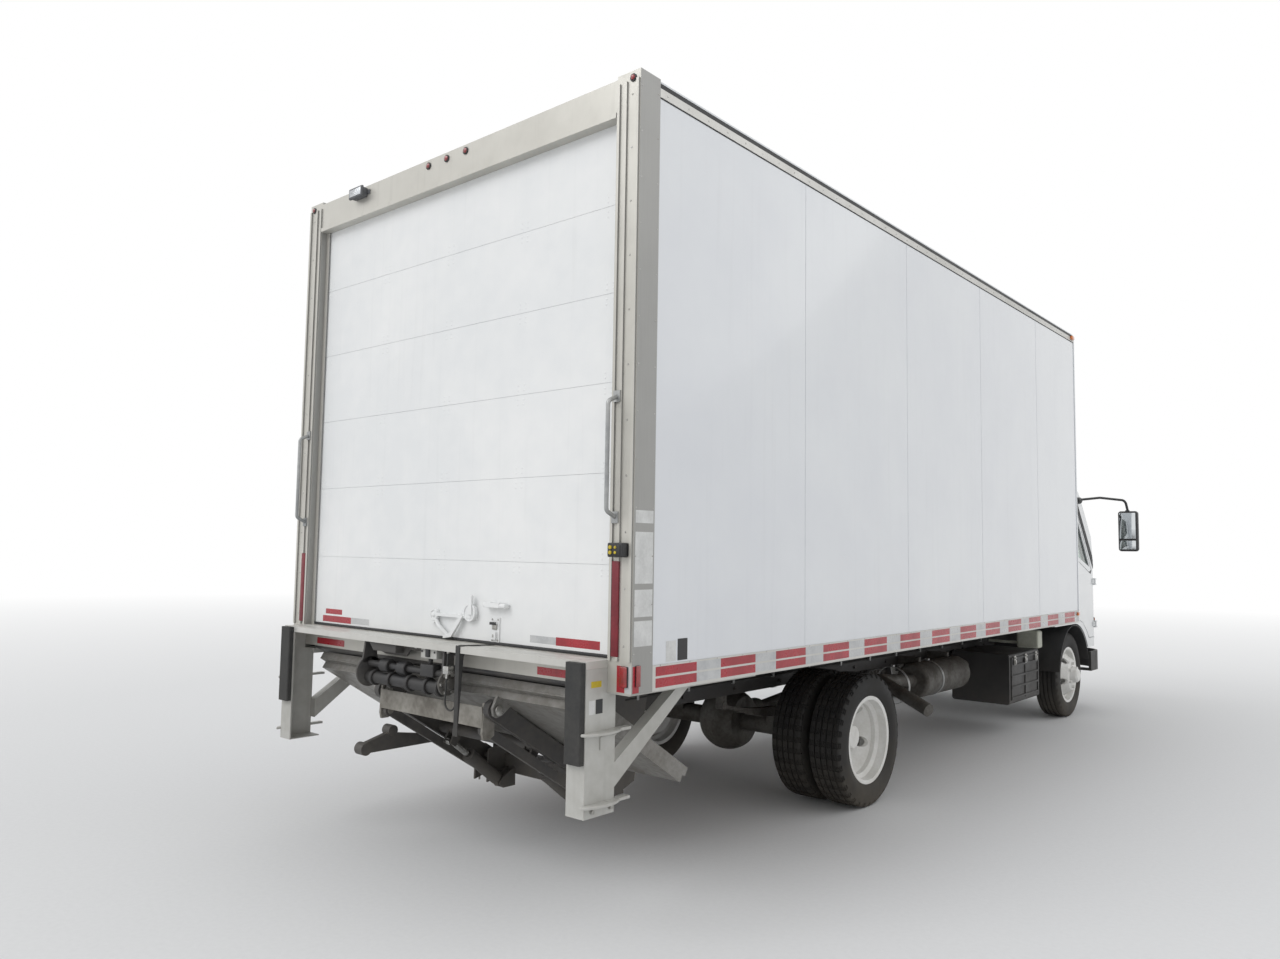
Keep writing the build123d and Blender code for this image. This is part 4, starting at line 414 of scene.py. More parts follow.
class Look(Enum):
    """Every finish on the truck; CAD nodes get the first one of their slot."""

    BODY = Finish(
        "gloss_body_white", "body_white", (224, 227, 230), (216, 219, 224), 0.35, (0.12, 0.2),
        90.0, 3e-5, coat=0.5, dust=(0.16, 1.7), streaks=0.05,
    )
    DOOR = Finish(
        "satin_door_white", "door_white", (233, 234, 234), (225, 227, 228), 1.1, (0.28, 0.42),
        520.0, 3e-5, dust=(0.14, 1.9), streaks=0.08,
    )
    CAB_PAINT = Finish(
        "gloss_cab_white", "cab_white", (228, 230, 231), (220, 223, 225), 1.4, (0.16, 0.26),
        700.0, 2e-5, coat=0.6, dust=(0.45, 1.3),
    )
    # Painted shade: the frame's faces that look to the truck's sides get a darker colour.
    ALUMINIUM = Finish(
        "brushed_frame_aluminium", "frame_aluminium", (202, 200, 193), (186, 184, 177), 0.9,
        (0.34, 0.5), 260.0, 6e-5, stretch=(1.0, 1.0, 0.02), marked=0.22, metallic=0.35,
        dust=(0.2, 1.6), streaks=0.2, painted_side_shade=(150, 150, 148),
    )
    RAIL = Finish(
        "drawn_rail_aluminium", "frame_aluminium", (208, 207, 203), (192, 191, 186), 0.9,
        (0.3, 0.46), 260.0, 5e-5, stretch=(0.02, 0.02, 1.0), marked=0.15, metallic=0.3,
        dust=(0.22, 1.5), streaks=0.12,
    )
    ZINC = Finish(
        "spangled_zinc", "galvanised", (176, 177, 176), (146, 148, 149), 4.0, (0.36, 0.6),
        85.0, 4e-5, zinc_spangle, marked=0.45, metallic=0.6, dust=(0.45, 1.2), streaks=0.2,
    )
    BRACKET = Finish(
        "grey_bracket_paint", "galvanised", (190, 190, 186), (174, 173, 168), 2.6, (0.38, 0.56),
        260.0, 6e-5, metallic=0.15, dust=(0.3, 1.2), streaks=0.3, wear=(0.5, 0.003),
        bare=(142, 132, 120),
    )
    GATE = Finish(
        "worn_gate_paint", "gate_dark", (58, 58, 60), (84, 82, 79), 5.0, (0.42, 0.7),
        210.0, 1.5e-4, dust=(0.5, 1.2), wear=(0.85, 0.004), bare=(128, 116, 104),
    )
    GATE_PLATE = Finish(
        "weathered_gate_plate", "gate_dark", (150, 147, 140), (112, 108, 101), 5.0, (0.45, 0.68),
        240.0, 1.2e-4, metallic=0.3, dust=(0.3, 1.2), wear=(0.6, 0.004), bare=(176, 172, 164),
    )
    GATE_STEEL = Finish(
        "ground_gate_steel", "gate_steel", (148, 147, 144), (118, 115, 110), 5.0, (0.34, 0.58),
        260.0, 1e-4, stretch=(0.05, 1.0, 1.0), marked=0.3, metallic=0.45, dust=(0.35, 1.2),
        wear=(0.5, 0.003), bare=(196, 194, 190),
    )
    CHASSIS = Finish(
        "satin_chassis_black", "chassis_black", (38, 38, 40), (52, 51, 50), 3.0, (0.42, 0.66),
        260.0, 1e-4, dust=(0.55, 0.95), wear=(0.5, 0.003), bare=(96, 78, 62),
    )
    WHEEL = Finish(
        "sprayed_wheel_white", "wheel_white", (236, 236, 234), (222, 221, 217), 9.0, (0.32, 0.5),
        600.0, 5e-5, dust=(0.28, 0.75), wear=(0.4, 0.002), bare=(120, 92, 74),
    )
    TYRE = Finish(
        "tyre_rubber", "tyre_black", (34, 34, 35), (50, 49, 47), 7.0, (0.62, 0.85),
        900.0, 1.2e-4, dust=(0.5, 0.6), specular=0.35,
    )
    RUBBER = Finish(
        "bumper_rubber", "rubber_black", (44, 45, 46), (66, 66, 65), 8.0, (0.6, 0.85),
        700.0, 1e-4, dust=(0.35, 1.2), wear=(0.4, 0.003), bare=(92, 92, 90), specular=0.35,
    )
    SHADOW_SEAL = Finish(
        "black_edge_seal", "rubber_black", (40, 41, 43), (60, 60, 61), 6.0, (0.5, 0.7), 500.0, 5e-5
    )
    PLASTIC = Finish(
        "moulded_black_plastic", "plastic_black", (36, 37, 39), (48, 48, 49), 5.0, (0.4, 0.6),
        1500.0, 8e-5, dust=(0.4, 1.0),
    )
    YELLOW = Finish(
        "blank_yellow_patch", "plastic_black", (206, 184, 52), (186, 164, 44), 14.0, (0.35, 0.5),
        800.0, 2e-5, dust=(0.3, 1.3),
    )
    TRIM = Finish(
        "grained_cab_trim", "trim_grey", (96, 98, 101), (80, 82, 85), 4.0, (0.5, 0.68), 1300.0, 1e-4
    )
    CAST = Finish(
        "cast_grey_metal", "cast_grey", (104, 103, 100), (78, 75, 71), 7.0, (0.5, 0.75),
        300.0, 2e-4, metallic=0.4, dust=(0.5, 1.0), wear=(0.4, 0.003), bare=(140, 138, 133),
    )
    TANK = Finish(
        "tank_aluminium", "tank_aluminium", (178, 179, 179), (150, 151, 151), 3.0, (0.28, 0.46),
        260.0, 4e-5, stretch=(1.0, 0.03, 1.0), marked=0.25, metallic=0.85, dust=(0.45, 0.9),
    )
    TANK_PLASTIC = Finish(
        "milky_tank_plastic", "tank_plastic", (206, 208, 196), (188, 190, 176), 9.0, (0.35, 0.5),
        500.0, 5e-5, dust=(0.4, 1.0),
    )
    # Painted reflection: the chrome colour is darkened to stand in for the dark surroundings the
    # rod reflects in the truck's shade.
    CHROME = Finish(
        "rod_chrome", "rod_chrome", (172, 172, 170), (140, 139, 135), 9.0, (0.12, 0.26),
        500.0, 2e-5, stretch=(1.0, 0.05, 0.05), metallic=1.0,
    )
    DECK = Finish(
        "oiled_deck_boards", "floor_wood", (150, 112, 76), (116, 82, 54), 2.0, (0.5, 0.72),
        120.0, 6e-4, stretch=(1.0, 0.03, 1.0), marked=0.6,
    )
    SEAT = Finish(
        "woven_seat_cloth", "seat_fabric", (74, 76, 80), (58, 60, 64), 9.0, (0.82, 0.95),
        150.0, 1.5e-4, cloth_weave, marked=0.25, specular=0.2,
    )
    BRIGHT = Finish(
        "plated_fastener", "galvanised", (190, 190, 188), (158, 156, 150), 20.0, (0.2, 0.45),
        900.0, 4e-5, metallic=0.9, dust=(0.4, 1.2),
    )
    SEALANT = Finish(
        "grey_joint_sealant", "body_white", (206, 209, 213), (192, 196, 201), 6.0, (0.5, 0.7),
        500.0, 5e-5,
    )
    PLACARD = Finish(
        "blank_placard", "body_white", (214, 215, 214), (196, 197, 196), 14.0, (0.35, 0.5),
        800.0, 2e-5, dust=(0.3, 1.5),
    )
    WHITE_TAPE = Finish(
        "white_reflex_tape", "body_white", (206, 207, 207), (176, 178, 180), 12.0, (0.22, 0.4),
        300.0, 5e-5, tape_prisms, marked=0.4, coat=0.3, dust=(0.35, 1.3),
    )
    RED_LENS = Finish(
        "red_lamp_lens", "lens_red", (168, 16, 20), (120, 8, 12), 30.0, (0.08, 0.2),
        70.0, 6e-4, cloth_weave, marked=0.4, coat=1.0,
    )
    RED_TAPE = Finish(
        "red_reflex_tape", "lens_red", (178, 30, 46), (146, 24, 38), 12.0, (0.22, 0.4),
        300.0, 5e-5, tape_prisms, marked=0.35, coat=0.3, dust=(0.3, 1.3),
    )
    RED_STRIP = Finish(
        "dark_red_strip", "lens_red", (124, 26, 40), (102, 20, 32), 9.0, (0.3, 0.5),
        800.0, 3e-5, dust=(0.2, 1.5),
    )
    LENS = ClearFinish("clear_lamp_lens", "lens_clear", (236, 238, 240), (0.03, 0.1), 0.92)
    AMBER_LENS = Finish(
        "amber_lamp_lens", "lens_clear", (226, 124, 22), (188, 92, 12), 30.0, (0.08, 0.2),
        70.0, 6e-4, cloth_weave, marked=0.4, coat=1.0,
    )
    REFLECTOR = Finish(
        "lamp_reflector", "lens_clear", (214, 216, 218), (176, 180, 184), 26.0, (0.1, 0.25),
        45.0, 1e-3, cloth_weave, marked=0.4, metallic=1.0,
    )
    GLASS = ClearFinish("tinted_cab_glass", "cab_glass", (186, 200, 194), (0.01, 0.04))
    MIRROR = Finish(
        "mirror_glass", "cab_glass", (214, 218, 220), (206, 210, 212), 3.0, (0.02, 0.05),
        40.0, 2e-6, metallic=1.0,
    )

    @property
    def material(self) -> bpy.types.Material:
        """The finish's node material."""
        return self.value.material()


SLOT_LOOKS = {look.value.slot: look for look in reversed(Look)}
NODE_LOOKS = {
    "body_rails": Look.RAIL, "bed_extension": Look.RAIL, "corner_brackets": Look.BRACKET,
    "exhaust": Look.CAST, "lift_shackles": Look.GATE_PLATE,
}


def dress_cad(nodes: Mapping[str, bpy.types.Object]) -> None:
    """Gives every CAD node its finish in the material slots it came with."""
    for name, node in nodes.items():
        for holder in node.material_slots:
            key = holder.material.name.split(".")[0] if holder.material else ""
            look = NODE_LOOKS.get(name) or SLOT_LOOKS.get(key)
            if look is None:
                raise KeyError(f"{name}: no finish for slot {key}")
            holder.material = look.material
        node.data.validate()


# Shapes
class Axis(Enum):
    """The main directions of the truck."""

    X = 0
    Y = 1
    Z = 2

    def lift(self, first: float, second: float, along: float) -> Point:
        """The point that is along this axis and at two places on the other axes, in their order."""
        place = [first, second]
        place.insert(self.value, along)
        return tuple(place)

    @property
    def way(self) -> Vector:
        """The axis as a unit vector."""
        return Vector(self.lift(0.0, 0.0, 1.0))


def put(name: str, data: bpy.types.ID) -> bpy.types.Object:
    """Puts a new object in the scene."""
    made = bpy.data.objects.new(name, data)
    bpy.context.scene.collection.objects.link(made)
    return made


def smooth_path(
    name: str, path: Sequence[Point], radius: float, rings: int, steps: int = 8
) -> bpy.types.Curve:
    """A round bar as a curve, on a smooth line through points near the path."""
    curve = bpy.data.curves.new(name, "CURVE")
    curve.dimensions = "3D"
    line = curve.splines.new("NURBS")
    line.points.add(len(path) - 1)
    for point, place in zip(line.points, path):
        point.co = (*place, 1.0)
    line.order_u = 3
    line.use_endpoint_u = True
    curve.resolution_u = steps
    curve.bevel_depth = radius
    curve.bevel_resolution = rings
    curve.use_fill_caps = True
    return curve


def points_of(geometry: Iterable[object]) -> list[bmesh.types.BMVert]:
    """The points among what a mesh operator made."""
    return [item for item in geometry if isinstance(item, bmesh.types.BMVert)]


class Shape:
    """A mesh in the making, grown by mesh operators."""

    def __init__(self) -> None:
        self.mesh = bmesh.new()

    def _round(self, edges: Iterable[bmesh.types.BMEdge], bevel: float, segments: int) -> None:
        """Rounds edges where a bevel is asked for."""
        if bevel:
            bmesh.ops.bevel(
                self.mesh, geom=list(dict.fromkeys(edges)), offset=bevel, segments=segments,
                profile=0.5, affect="EDGES", material=-1, clamp_overlap=True,
            )

    def box(
        self, corner: Sequence[float], far: Sequence[float], bevel: float = 0.0, segments: int = 2
    ) -> "Shape":
        """Adds a box between two opposite corners, its edges rounded by bevel."""
        start, end = Vector(corner), Vector(far)
        size = [abs(value) for value in end - start]
        matrix = Matrix.Translation((start + end) / 2) @ Matrix.Diagonal((*size, 1.0))
        made = bmesh.ops.create_cube(self.mesh, size=1.0, matrix=matrix)
        self._round((edge for vert in made["verts"] for edge in vert.link_edges), bevel, segments)
        return self

    def rod(
        self, start: Sequence[float], end: Sequence[float], radius: float, segments: int = 20,
        bevel: float = 0.0, end_radius: float | None = None,
    ) -> "Shape":
        """Adds a round bar or cone between two points, its rims rounded by bevel."""
        first, last = Vector(start), Vector(end)
        way = last - first
        turn = way.to_track_quat("Z", "Y").to_matrix().to_4x4()
        made = bmesh.ops.create_cone(
            self.mesh, cap_ends=True, segments=segments, radius1=radius,
            radius2=radius if end_radius is None else end_radius, depth=way.length,
            matrix=Matrix.Translation((first + last) / 2) @ turn,
        )
        rims = (
            edge for vert in made["verts"] for edge in vert.link_edges
            if abs((edge.verts[0].co - edge.verts[1].co).dot(way)) < 1e-7
        )
        self._round(rims, bevel, 2)
        return self

    def peg(
        self, start: Sequence[float], axis: Axis, length: float, radius: float,
        segments: int = 20, bevel: float = 0.0,
    ) -> "Shape":
        """Adds a round bar that runs some length along an axis."""
        end = list(start)
        end[axis.value] += length
        return self.rod(start, end, radius, segments, bevel)

    def prism(
        self, outline: Outline, axis: Axis, low: float, high: float, bevel: float = 0.0,
        segments: int = 1,
    ) -> "Shape":
        """Adds an outline on the plane across an axis, run along that axis from low to high."""
        corners = [self.mesh.verts.new(axis.lift(u, v, low)) for u, v in outline]
        face = bmesh.ops.contextual_create(self.mesh, geom=corners)["faces"]
        moved = points_of(bmesh.ops.extrude_face_region(self.mesh, geom=face)["geom"])
        bmesh.ops.translate(self.mesh, verts=moved, vec=axis.way * (high - low))
        verts = corners + moved
        faces = dict.fromkeys(face for vert in verts for face in vert.link_faces)
        bmesh.ops.recalc_face_normals(self.mesh, faces=list(faces))
        self._round((edge for vert in verts for edge in vert.link_edges), bevel, segments)
        return self

    def turned(
        self, profile: Outline, axis: Axis, centre: Sequence[float], steps: int = 48
    ) -> "Shape":
        """Adds a closed profile of (along, radius) points turned once about an axis.

        Args:
            profile: the points in order.
            axis: the axis turned about.
            centre: where along is 0 on that axis.
            steps: faces round the turn.

        Returns:
            This shape.
        """
        across = Axis.X.way if axis is Axis.Z else Axis.Z.way
        middle = Vector(centre)
        corners = [self.mesh.verts.new(middle + axis.way * u + across * v) for u, v in profile]
        lines = [self.mesh.edges.new(pair) for pair in zip(corners, corners[1:] + corners[:1])]
        before = set(self.mesh.verts) - set(corners)
        bmesh.ops.spin(
            self.mesh, geom=corners + lines, cent=centre, axis=axis.way, dvec=(0, 0, 0),
            angle=math.tau, steps=steps, use_merge=True,
        )
        fresh = [vert for vert in self.mesh.verts if vert not in before]
        bmesh.ops.remove_doubles(self.mesh, verts=fresh, dist=1e-6)
        faces = [face for face in self.mesh.faces if face.verts[0] not in before]
        bmesh.ops.recalc_face_normals(self.mesh, faces=faces)
        return self

    def bent_bar(
        self, path: Sequence[Point], radius: float, steps: int = 8, rings: int = 2
    ) -> "Shape":
        """Adds a bar along a smooth line through points near the path."""
        curve = smooth_path("path", path, radius, rings, steps)
        holder = bpy.data.objects.new("path", curve)
        mesh = bpy.data.meshes.new_from_object(holder)
        self.mesh.from_mesh(mesh)
        bpy.data.objects.remove(holder)
        bpy.data.curves.remove(curve)
        bpy.data.meshes.remove(mesh)
        bmesh.ops.remove_doubles(self.mesh, verts=list(self.mesh.verts), dist=1e-6)
        return self

    def cut(self, cuts: int) -> "Shape":
        """Cuts every edge into equal lengths, so that the shape can follow a curve."""
        edges = list(self.mesh.edges)
        bmesh.ops.subdivide_edges(self.mesh, edges=edges, cuts=cuts, use_grid_fill=True)
        return self

    def placed(self, places: Iterable[Matrix]) -> "Shape":
        """Puts a copy of all that is there at each place, in place of the first."""
        source = [*self.mesh.verts, *self.mesh.edges, *self.mesh.faces]
        first = list(self.mesh.verts)
        for place in places:
            copy = bmesh.ops.duplicate(self.mesh, geom=source)["geom"]
            bmesh.ops.transform(self.mesh, matrix=place, verts=points_of(copy))
            if place.determinant() < 0:
                faces = [item for item in copy if isinstance(item, bmesh.types.BMFace)]
                bmesh.ops.reverse_faces(self.mesh, faces=faces)
        bmesh.ops.delete(self.mesh, geom=first, context="VERTS")
        return self

    def at(self, spots: Iterable[Sequence[float]]) -> "Shape":
        """Puts a copy of all that is there at each spot."""
        return self.placed([Matrix.Translation(spot) for spot in spots])

    def ring(self, count: int, axis: Axis, centre: Sequence[float]) -> "Shape":
        """Repeats all that is there evenly round an axis."""
        middle = Matrix.Translation(centre)
        turns = (Matrix.Rotation(math.tau * index / count, 4, axis.way) for index in range(count))
        return self.placed([middle @ turn @ middle.inverted() for turn in turns])

    def both_sides(self) -> "Shape":
        """Adds the mirror image on the truck's other side."""
        return self.placed([Matrix.Identity(4), Matrix.Diagonal((-1.0, 1.0, 1.0, 1.0))])

    def add(self, other: "Shape") -> "Shape":
        """Takes in another shape."""
        carrier = bpy.data.meshes.new("carrier")
        other.mesh.to_mesh(carrier)
        other.mesh.free()
        self.mesh.from_mesh(carrier)
        bpy.data.meshes.remove(carrier)
        return self

    def cling(self, target: BVHTree, axis: Axis, sign: int, gap: float = 0.0) -> "Shape":
        """Lays the shape on a surface: its points keep their height over the axis' zero plane.

        Args:
            target: the surface to lie on.
            axis: the direction it is pressed along.
            sign: the side of the target it lies on.
            gap: height of the shape's zero plane over the surface.

        Returns:
            This shape.

        Raises:
            ValueError: if a point has nothing to lie on.
        """
        index = axis.value
        for vert in self.mesh.verts:
            start = vert.co.copy()
            rise = start[index]
            start[index] = sign * 20.0
            hit = target.ray_cast(start, axis.way * -sign)[0]
            if hit is None:
                raise ValueError(f"nothing to lie on at {tuple(start)}")
            vert.co[index] = hit[index] + sign * (gap + rise)
        return self

    def piece(
        self, name: str, look: Look, body: str = ROOT, crease: float = 35.0
    ) -> bpy.types.Object:
        """Makes the shape an object that rides on a body.

        Args:
            name: the object's name.
            look: its finish.
            body: the CAD body that it moves with.
            crease: edges sharper than this many degrees stay sharp.

        Returns:
            The finished object.
        """
        mesh = bpy.data.meshes.new(name)
        self.mesh.to_mesh(mesh)
        self.mesh.free()
        mesh.shade_smooth()
        mesh.set_sharp_from_angle(angle=math.radians(crease))
        mesh.materials.append(look.material)
        made = put(name, mesh)
        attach(made, body)
        LOG.info("piece %s: %d faces on %s", name, len(mesh.polygons), body)
        return made


def surface_of(nodes: Sequence[bpy.types.Object]) -> BVHTree:
    """A search tree of the surface of CAD nodes taken together."""
    gathered = bmesh.new()
    for node in nodes:
        gathered.from_mesh(node.data)
    tree = BVHTree.FromBMesh(gathered)
    gathered.free()
    return tree


def rivet(radius: float, height: float, axis: Axis, sign: int = 1) -> Shape:
    """A low round rivet head that stands out along an axis from the origin."""
    return Shape().rod((0, 0, 0), axis.way * (sign * height), radius, 8, end_radius=radius * 0.55)


def hex_bolt(across: float, height: float, axis: Axis, sign: int = 1) -> Shape:
    """A hexagon head on a washer, standing out along an axis from the origin."""
    way = axis.way * sign
    head = Shape().rod(way * 0.0, way * (height * 0.25), across * 0.68, 16)
    return head.rod(way * (height * 0.2), way * height, across * 0.577, 6, across * 0.04)


def steps_between(start: float, end: float, pitch: float) -> list[float]:
    """Evenly spaced values from start to end, about a pitch apart."""
    count = max(1, round(abs(end - start) / pitch))
    return [start + (end - start) * index / count for index in range(count + 1)]


def frame_ring(
    outer: Outline, inner: Outline, axis: Axis, thickness: float, cuts: int = 10
) -> Shape:
    """A flat ring between two outlines with the same number of corners, across an axis."""
    made = Shape()
    lines = []
    for outline in (outer, inner):
        corners = [made.mesh.verts.new(axis.lift(u, v, 0.0)) for u, v in outline]
        lines += [made.mesh.edges.new(pair) for pair in zip(corners, corners[1:] + corners[:1])]
    bmesh.ops.subdivide_edges(made.mesh, edges=lines, cuts=cuts)
    bmesh.ops.bridge_loops(made.mesh, edges=list(made.mesh.edges))
    moved = points_of(bmesh.ops.extrude_face_region(made.mesh, geom=list(made.mesh.faces))["geom"])
    bmesh.ops.translate(made.mesh, verts=moved, vec=axis.way * thickness)
    bmesh.ops.recalc_face_normals(made.mesh, faces=list(made.mesh.faces))
    return made


OUTER_X = 1.295
DOOR_Y = 3.845
FRAME_Y = 3.890
TAPE_THICKNESS = 0.0004
TAPE_ROOT = 0.001


# Load body
@dataclass
class LoadBody:
    """Panel joints, rivets, lamps and reflective tape of the van body."""

    wall_x: float = 1.290
    wall_z: tuple[float, float] = (1.0675, 3.4745)
    cap_z: tuple[float, float] = (3.514, 3.5345)
    rear_y: float = 3.7595
    front_y: float = -2.210
    post_y: float = -2.150
    joint_y: tuple[float, ...] = (2.545, 1.3258, 0.1066, -1.1126)
    tape_z: tuple[float, float] = (0.975, 1.022)
    tape_height: float = 0.038
    red_length: float = 0.279
    white_length: float = 0.178
    first_red_y: float = 3.600
    red_count: int = 13
    rivet_pitch: float = 0.150

    def build(self) -> None:
        """Builds every piece of the load body."""
        self.joints()
        self.rivets()
        self.tape()
        self.lamps()

    def joints(self) -> None:
        """Sealed joints between the side panels, and two dark lines along the top rail: one where
        it meets the wall, one over its upper part.
        """
        x, (low, high) = self.wall_x, self.wall_z
        strips = Shape()
        for y in self.joint_y:
            strips.box((x - 0.001, y - 0.002, low), (x + 0.0006, y + 0.002, high), 0.0004, 1)
        strips.both_sides().piece("panel_joints", Look.SEALANT)
        start, end = self.post_y, self.rear_y
        seal = Shape().box((x - 0.002, start, high - 0.004), (x + 0.003, end, high), 0.001, 1)
        low, high = self.cap_z
        seal.box((OUTER_X - 0.001, start, low), (OUTER_X + 0.0004, end, high))
        seal.both_sides().piece("roof_edge_dark_lines", Look.SHADOW_SEAL)

    def rivets(self) -> None:
        """Rivet rows along the rails, the front posts and the front panel's edges."""
        rows = Shape()
        for radius, height, z, pitch in (
            (0.005, 0.002, self.wall_z[1] + 0.020, self.rivet_pitch),
            (0.004, 0.0015, 1.0645, 0.203),
        ):
            stops = steps_between(self.rear_y - 0.05, self.post_y + 0.05, pitch)
            rows.add(rivet(radius, height, Axis.X).at((OUTER_X, y, z) for y in stops))
        rows.both_sides().piece("rail_rivets", Look.BRIGHT)
        across = steps_between(-1.20, 1.20, self.rivet_pitch)
        up = steps_between(1.12, 3.44, self.rivet_pitch)
        spots = [(x, z) for z in (1.015, 3.505) for x in across]
        spots += [(x, z) for x in (-1.243, 1.243) for z in up]
        face = rivet(0.005, 0.002, Axis.Y, -1).at((x, self.front_y, z) for x, z in spots)
        face.piece("front_rivets", Look.BRIGHT)

    def tape(self) -> None:
        """Two rows of red and white reflective tape along both lower rails."""
        red, white = Shape(), Shape()
        pitch = self.red_length + self.white_length
        for low in self.tape_z:
            for index in range(self.red_count):
                middle = self.first_red_y - index * pitch
                self._strip(red, middle, self.red_length, low)
                self._strip(white, middle - pitch / 2, self.white_length, low)
        red.both_sides().piece("red_side_tape", Look.RED_TAPE)
        white.both_sides().piece("white_side_tape", Look.WHITE_TAPE)

    def _strip(self, tape: Shape, middle: float, length: float, low: float) -> None:
        """Adds one strip of tape on the left rail, cut off at the rail's ends."""
        end = max(middle - length / 2, self.post_y + 0.004)
        start = min(middle + length / 2, self.rear_y)
        if start - end > 0.02:
            high = low + self.tape_height
            tape.box((OUTER_X - TAPE_ROOT, end, low), (OUTER_X + TAPE_THICKNESS, start, high))

    def lamps(self) -> None:
        """Front clearance lamps and the side markers on the lower and top rails."""
        lens, marker, y = Shape(), Shape(), self.front_y
        for x in (-1.10, -0.15, 0.0, 0.15, 1.10):
            lens.box((x - 0.045, y - 0.022, 3.488), (x + 0.045, y + 0.002, 3.522), 0.008, 3)
        lens.piece("front_clearance_lamps", Look.AMBER_LENS)
        x = OUTER_X - 0.002
        marker.box((x, -2.125, 3.488), (x + 0.020, -2.055, 3.522), 0.007, 3)
        marker.box((x, -2.135, 1.024), (x + 0.018, -2.085, 1.054), 0.006, 3)
        marker.both_sides().piece("side_marker_lamps", Look.AMBER_LENS)


# Rear end
@dataclass
class RearEnd:
    """Tape, strips, door fasteners, switch box and lamp details on the rear frame and door."""

    seam_low: float = 1.0903
    seam_pitch: float = 0.38512
    sections: int = 6
    hinge_columns: tuple[float, ...] = (-1.10, -0.55, 0.0, 0.55, 1.10)
    foot_z: tuple[float, float] = (0.966, 1.072)
    panel_x: float = -1.2906
    bracket_x: float = -1.1657
    strap_x: tuple[float, float] = (-0.376, -0.348)

    def build(self) -> None:
        """Builds every piece of the rear end."""
        self.tapes()
        self.post_strips()
        self.placards()
        self.switch_box()
        self.door_details()
        self.lamps()
        self.latch()
        self.bracket_details()
        self.plate_edge()

    def tapes(self) -> None:
        """Red and white tape on the door's foot, the sill and the post feet."""
        red, white = Shape(), Shape()
        for tape, y, start, end, low, high in (
            (red, DOOR_Y, 0.778, 1.061, 1.112, 1.146), (red, DOOR_Y, 0.869, 1.033, 1.156, 1.184),
            (red, DOOR_Y, -0.817, -1.079, 1.118, 1.154), (red, FRAME_Y, 0.763, 1.035, 0.992, 1.026),
            (red, FRAME_Y, -0.751, -1.030, 0.992, 1.026),
            (white, DOOR_Y, 0.606, 0.778, 1.114, 1.146),
            (white, DOOR_Y, -0.652, -0.817, 1.120, 1.152),
            *((red, FRAME_Y, side * 1.216, side * 1.258, *self.foot_z) for side, _ in SIDES),
            *((white, FRAME_Y, side * 1.262, side * 1.290, *self.foot_z) for side, _ in SIDES),
        ):
            tape.box((start, y - TAPE_ROOT, low), (end, y + TAPE_THICKNESS, high))
        low, high = self.foot_z
        for side, _ in SIDES:
            wrap = side * (OUTER_X + TAPE_THICKNESS)
            red.box((side * (OUTER_X - TAPE_ROOT), 3.845, low), (wrap, 3.884, high))
        red.piece("red_rear_tape", Look.RED_TAPE)
        white.piece("white_rear_tape", Look.WHITE_TAPE)

    def post_strips(self) -> None:
        """The dark red strips and the rivet rows up both posts."""
        strip = Shape().box((1.187, FRAME_Y, 1.106), (1.2245, 3.8995, 1.492), 0.002)
        strip.both_sides().piece("post_strips", Look.RED_STRIP)
        back = rivet(0.005, 0.0025, Axis.Y)
        heads = back.at((1.250, FRAME_Y, z) for z in steps_between(1.15, 3.45, 0.23))
        up = steps_between(1.12, 3.48, 0.2)
        side = rivet(0.004, 0.002, Axis.X).at((OUTER_X, y, z) for y in (3.772, 3.878) for z in up)
        heads.add(side).both_sides().piece("post_rivets", Look.BRIGHT)

    def placards(self) -> None:
        """Blank placards on the right post's side face and the side panel."""
        blank, dark = Shape(), Shape()
        for low, high in ((1.648, 1.700), (1.402, 1.612), (1.268, 1.378), (1.150, 1.252)):
            blank.box((-OUTER_X - 0.0006, 3.768, low), (-OUTER_X + 0.001, 3.880, high))
        blank.box((self.panel_x, 3.600, 1.075), (-1.289, 3.668, 1.160))
        dark.box((self.panel_x, 3.522, 1.075), (-1.289, 3.590, 1.166))
        blank.piece("blank_placards", Look.PLACARD)
        dark.piece("dark_placard", Look.PLASTIC)

    def switch_box(self) -> None:
        """The two-button liftgate switch on the right post."""
        case, keys = Shape(), Shape()
        case.box((-1.272, FRAME_Y, 1.508), (-1.190, 3.934, 1.566), 0.006, 3)
        case.box((-1.262, 3.930, 1.516), (-1.200, 3.937, 1.558), 0.002)
        case.piece("gate_switch_case", Look.PLASTIC)
        for z in (1.5265, 1.5475):
            keys.peg((-1.212, 3.936, z), Axis.Y, 0.007, 0.008, 16, 0.0015)
            keys.peg((-1.238, 3.936, z), Axis.Y, 0.005, 0.006, 16, 0.0015)
        keys.piece("gate_switch_keys", Look.YELLOW)

    def door_details(self) -> None:
        """Hinge fasteners along the door's seams, and the bottom seal."""
        heads = rivet(0.006, 0.0016, Axis.Y).at(
            (x + across, DOOR_Y, self.seam_low + seam * self.seam_pitch + up)
            for seam in range(1, self.sections) for x in self.hinge_columns
            for across in (-0.02, 0.02) for up in (-0.045, -0.022, 0.022, 0.045)
        )
        heads.piece("door_hinge_rivets", Look.DOOR)
        seal = Shape().box((-1.150, 3.826, 1.0906), (1.150, DOOR_Y + 0.006, 1.104), 0.003)
        seal.piece("door_bottom_seal", Look.SHADOW_SEAL)

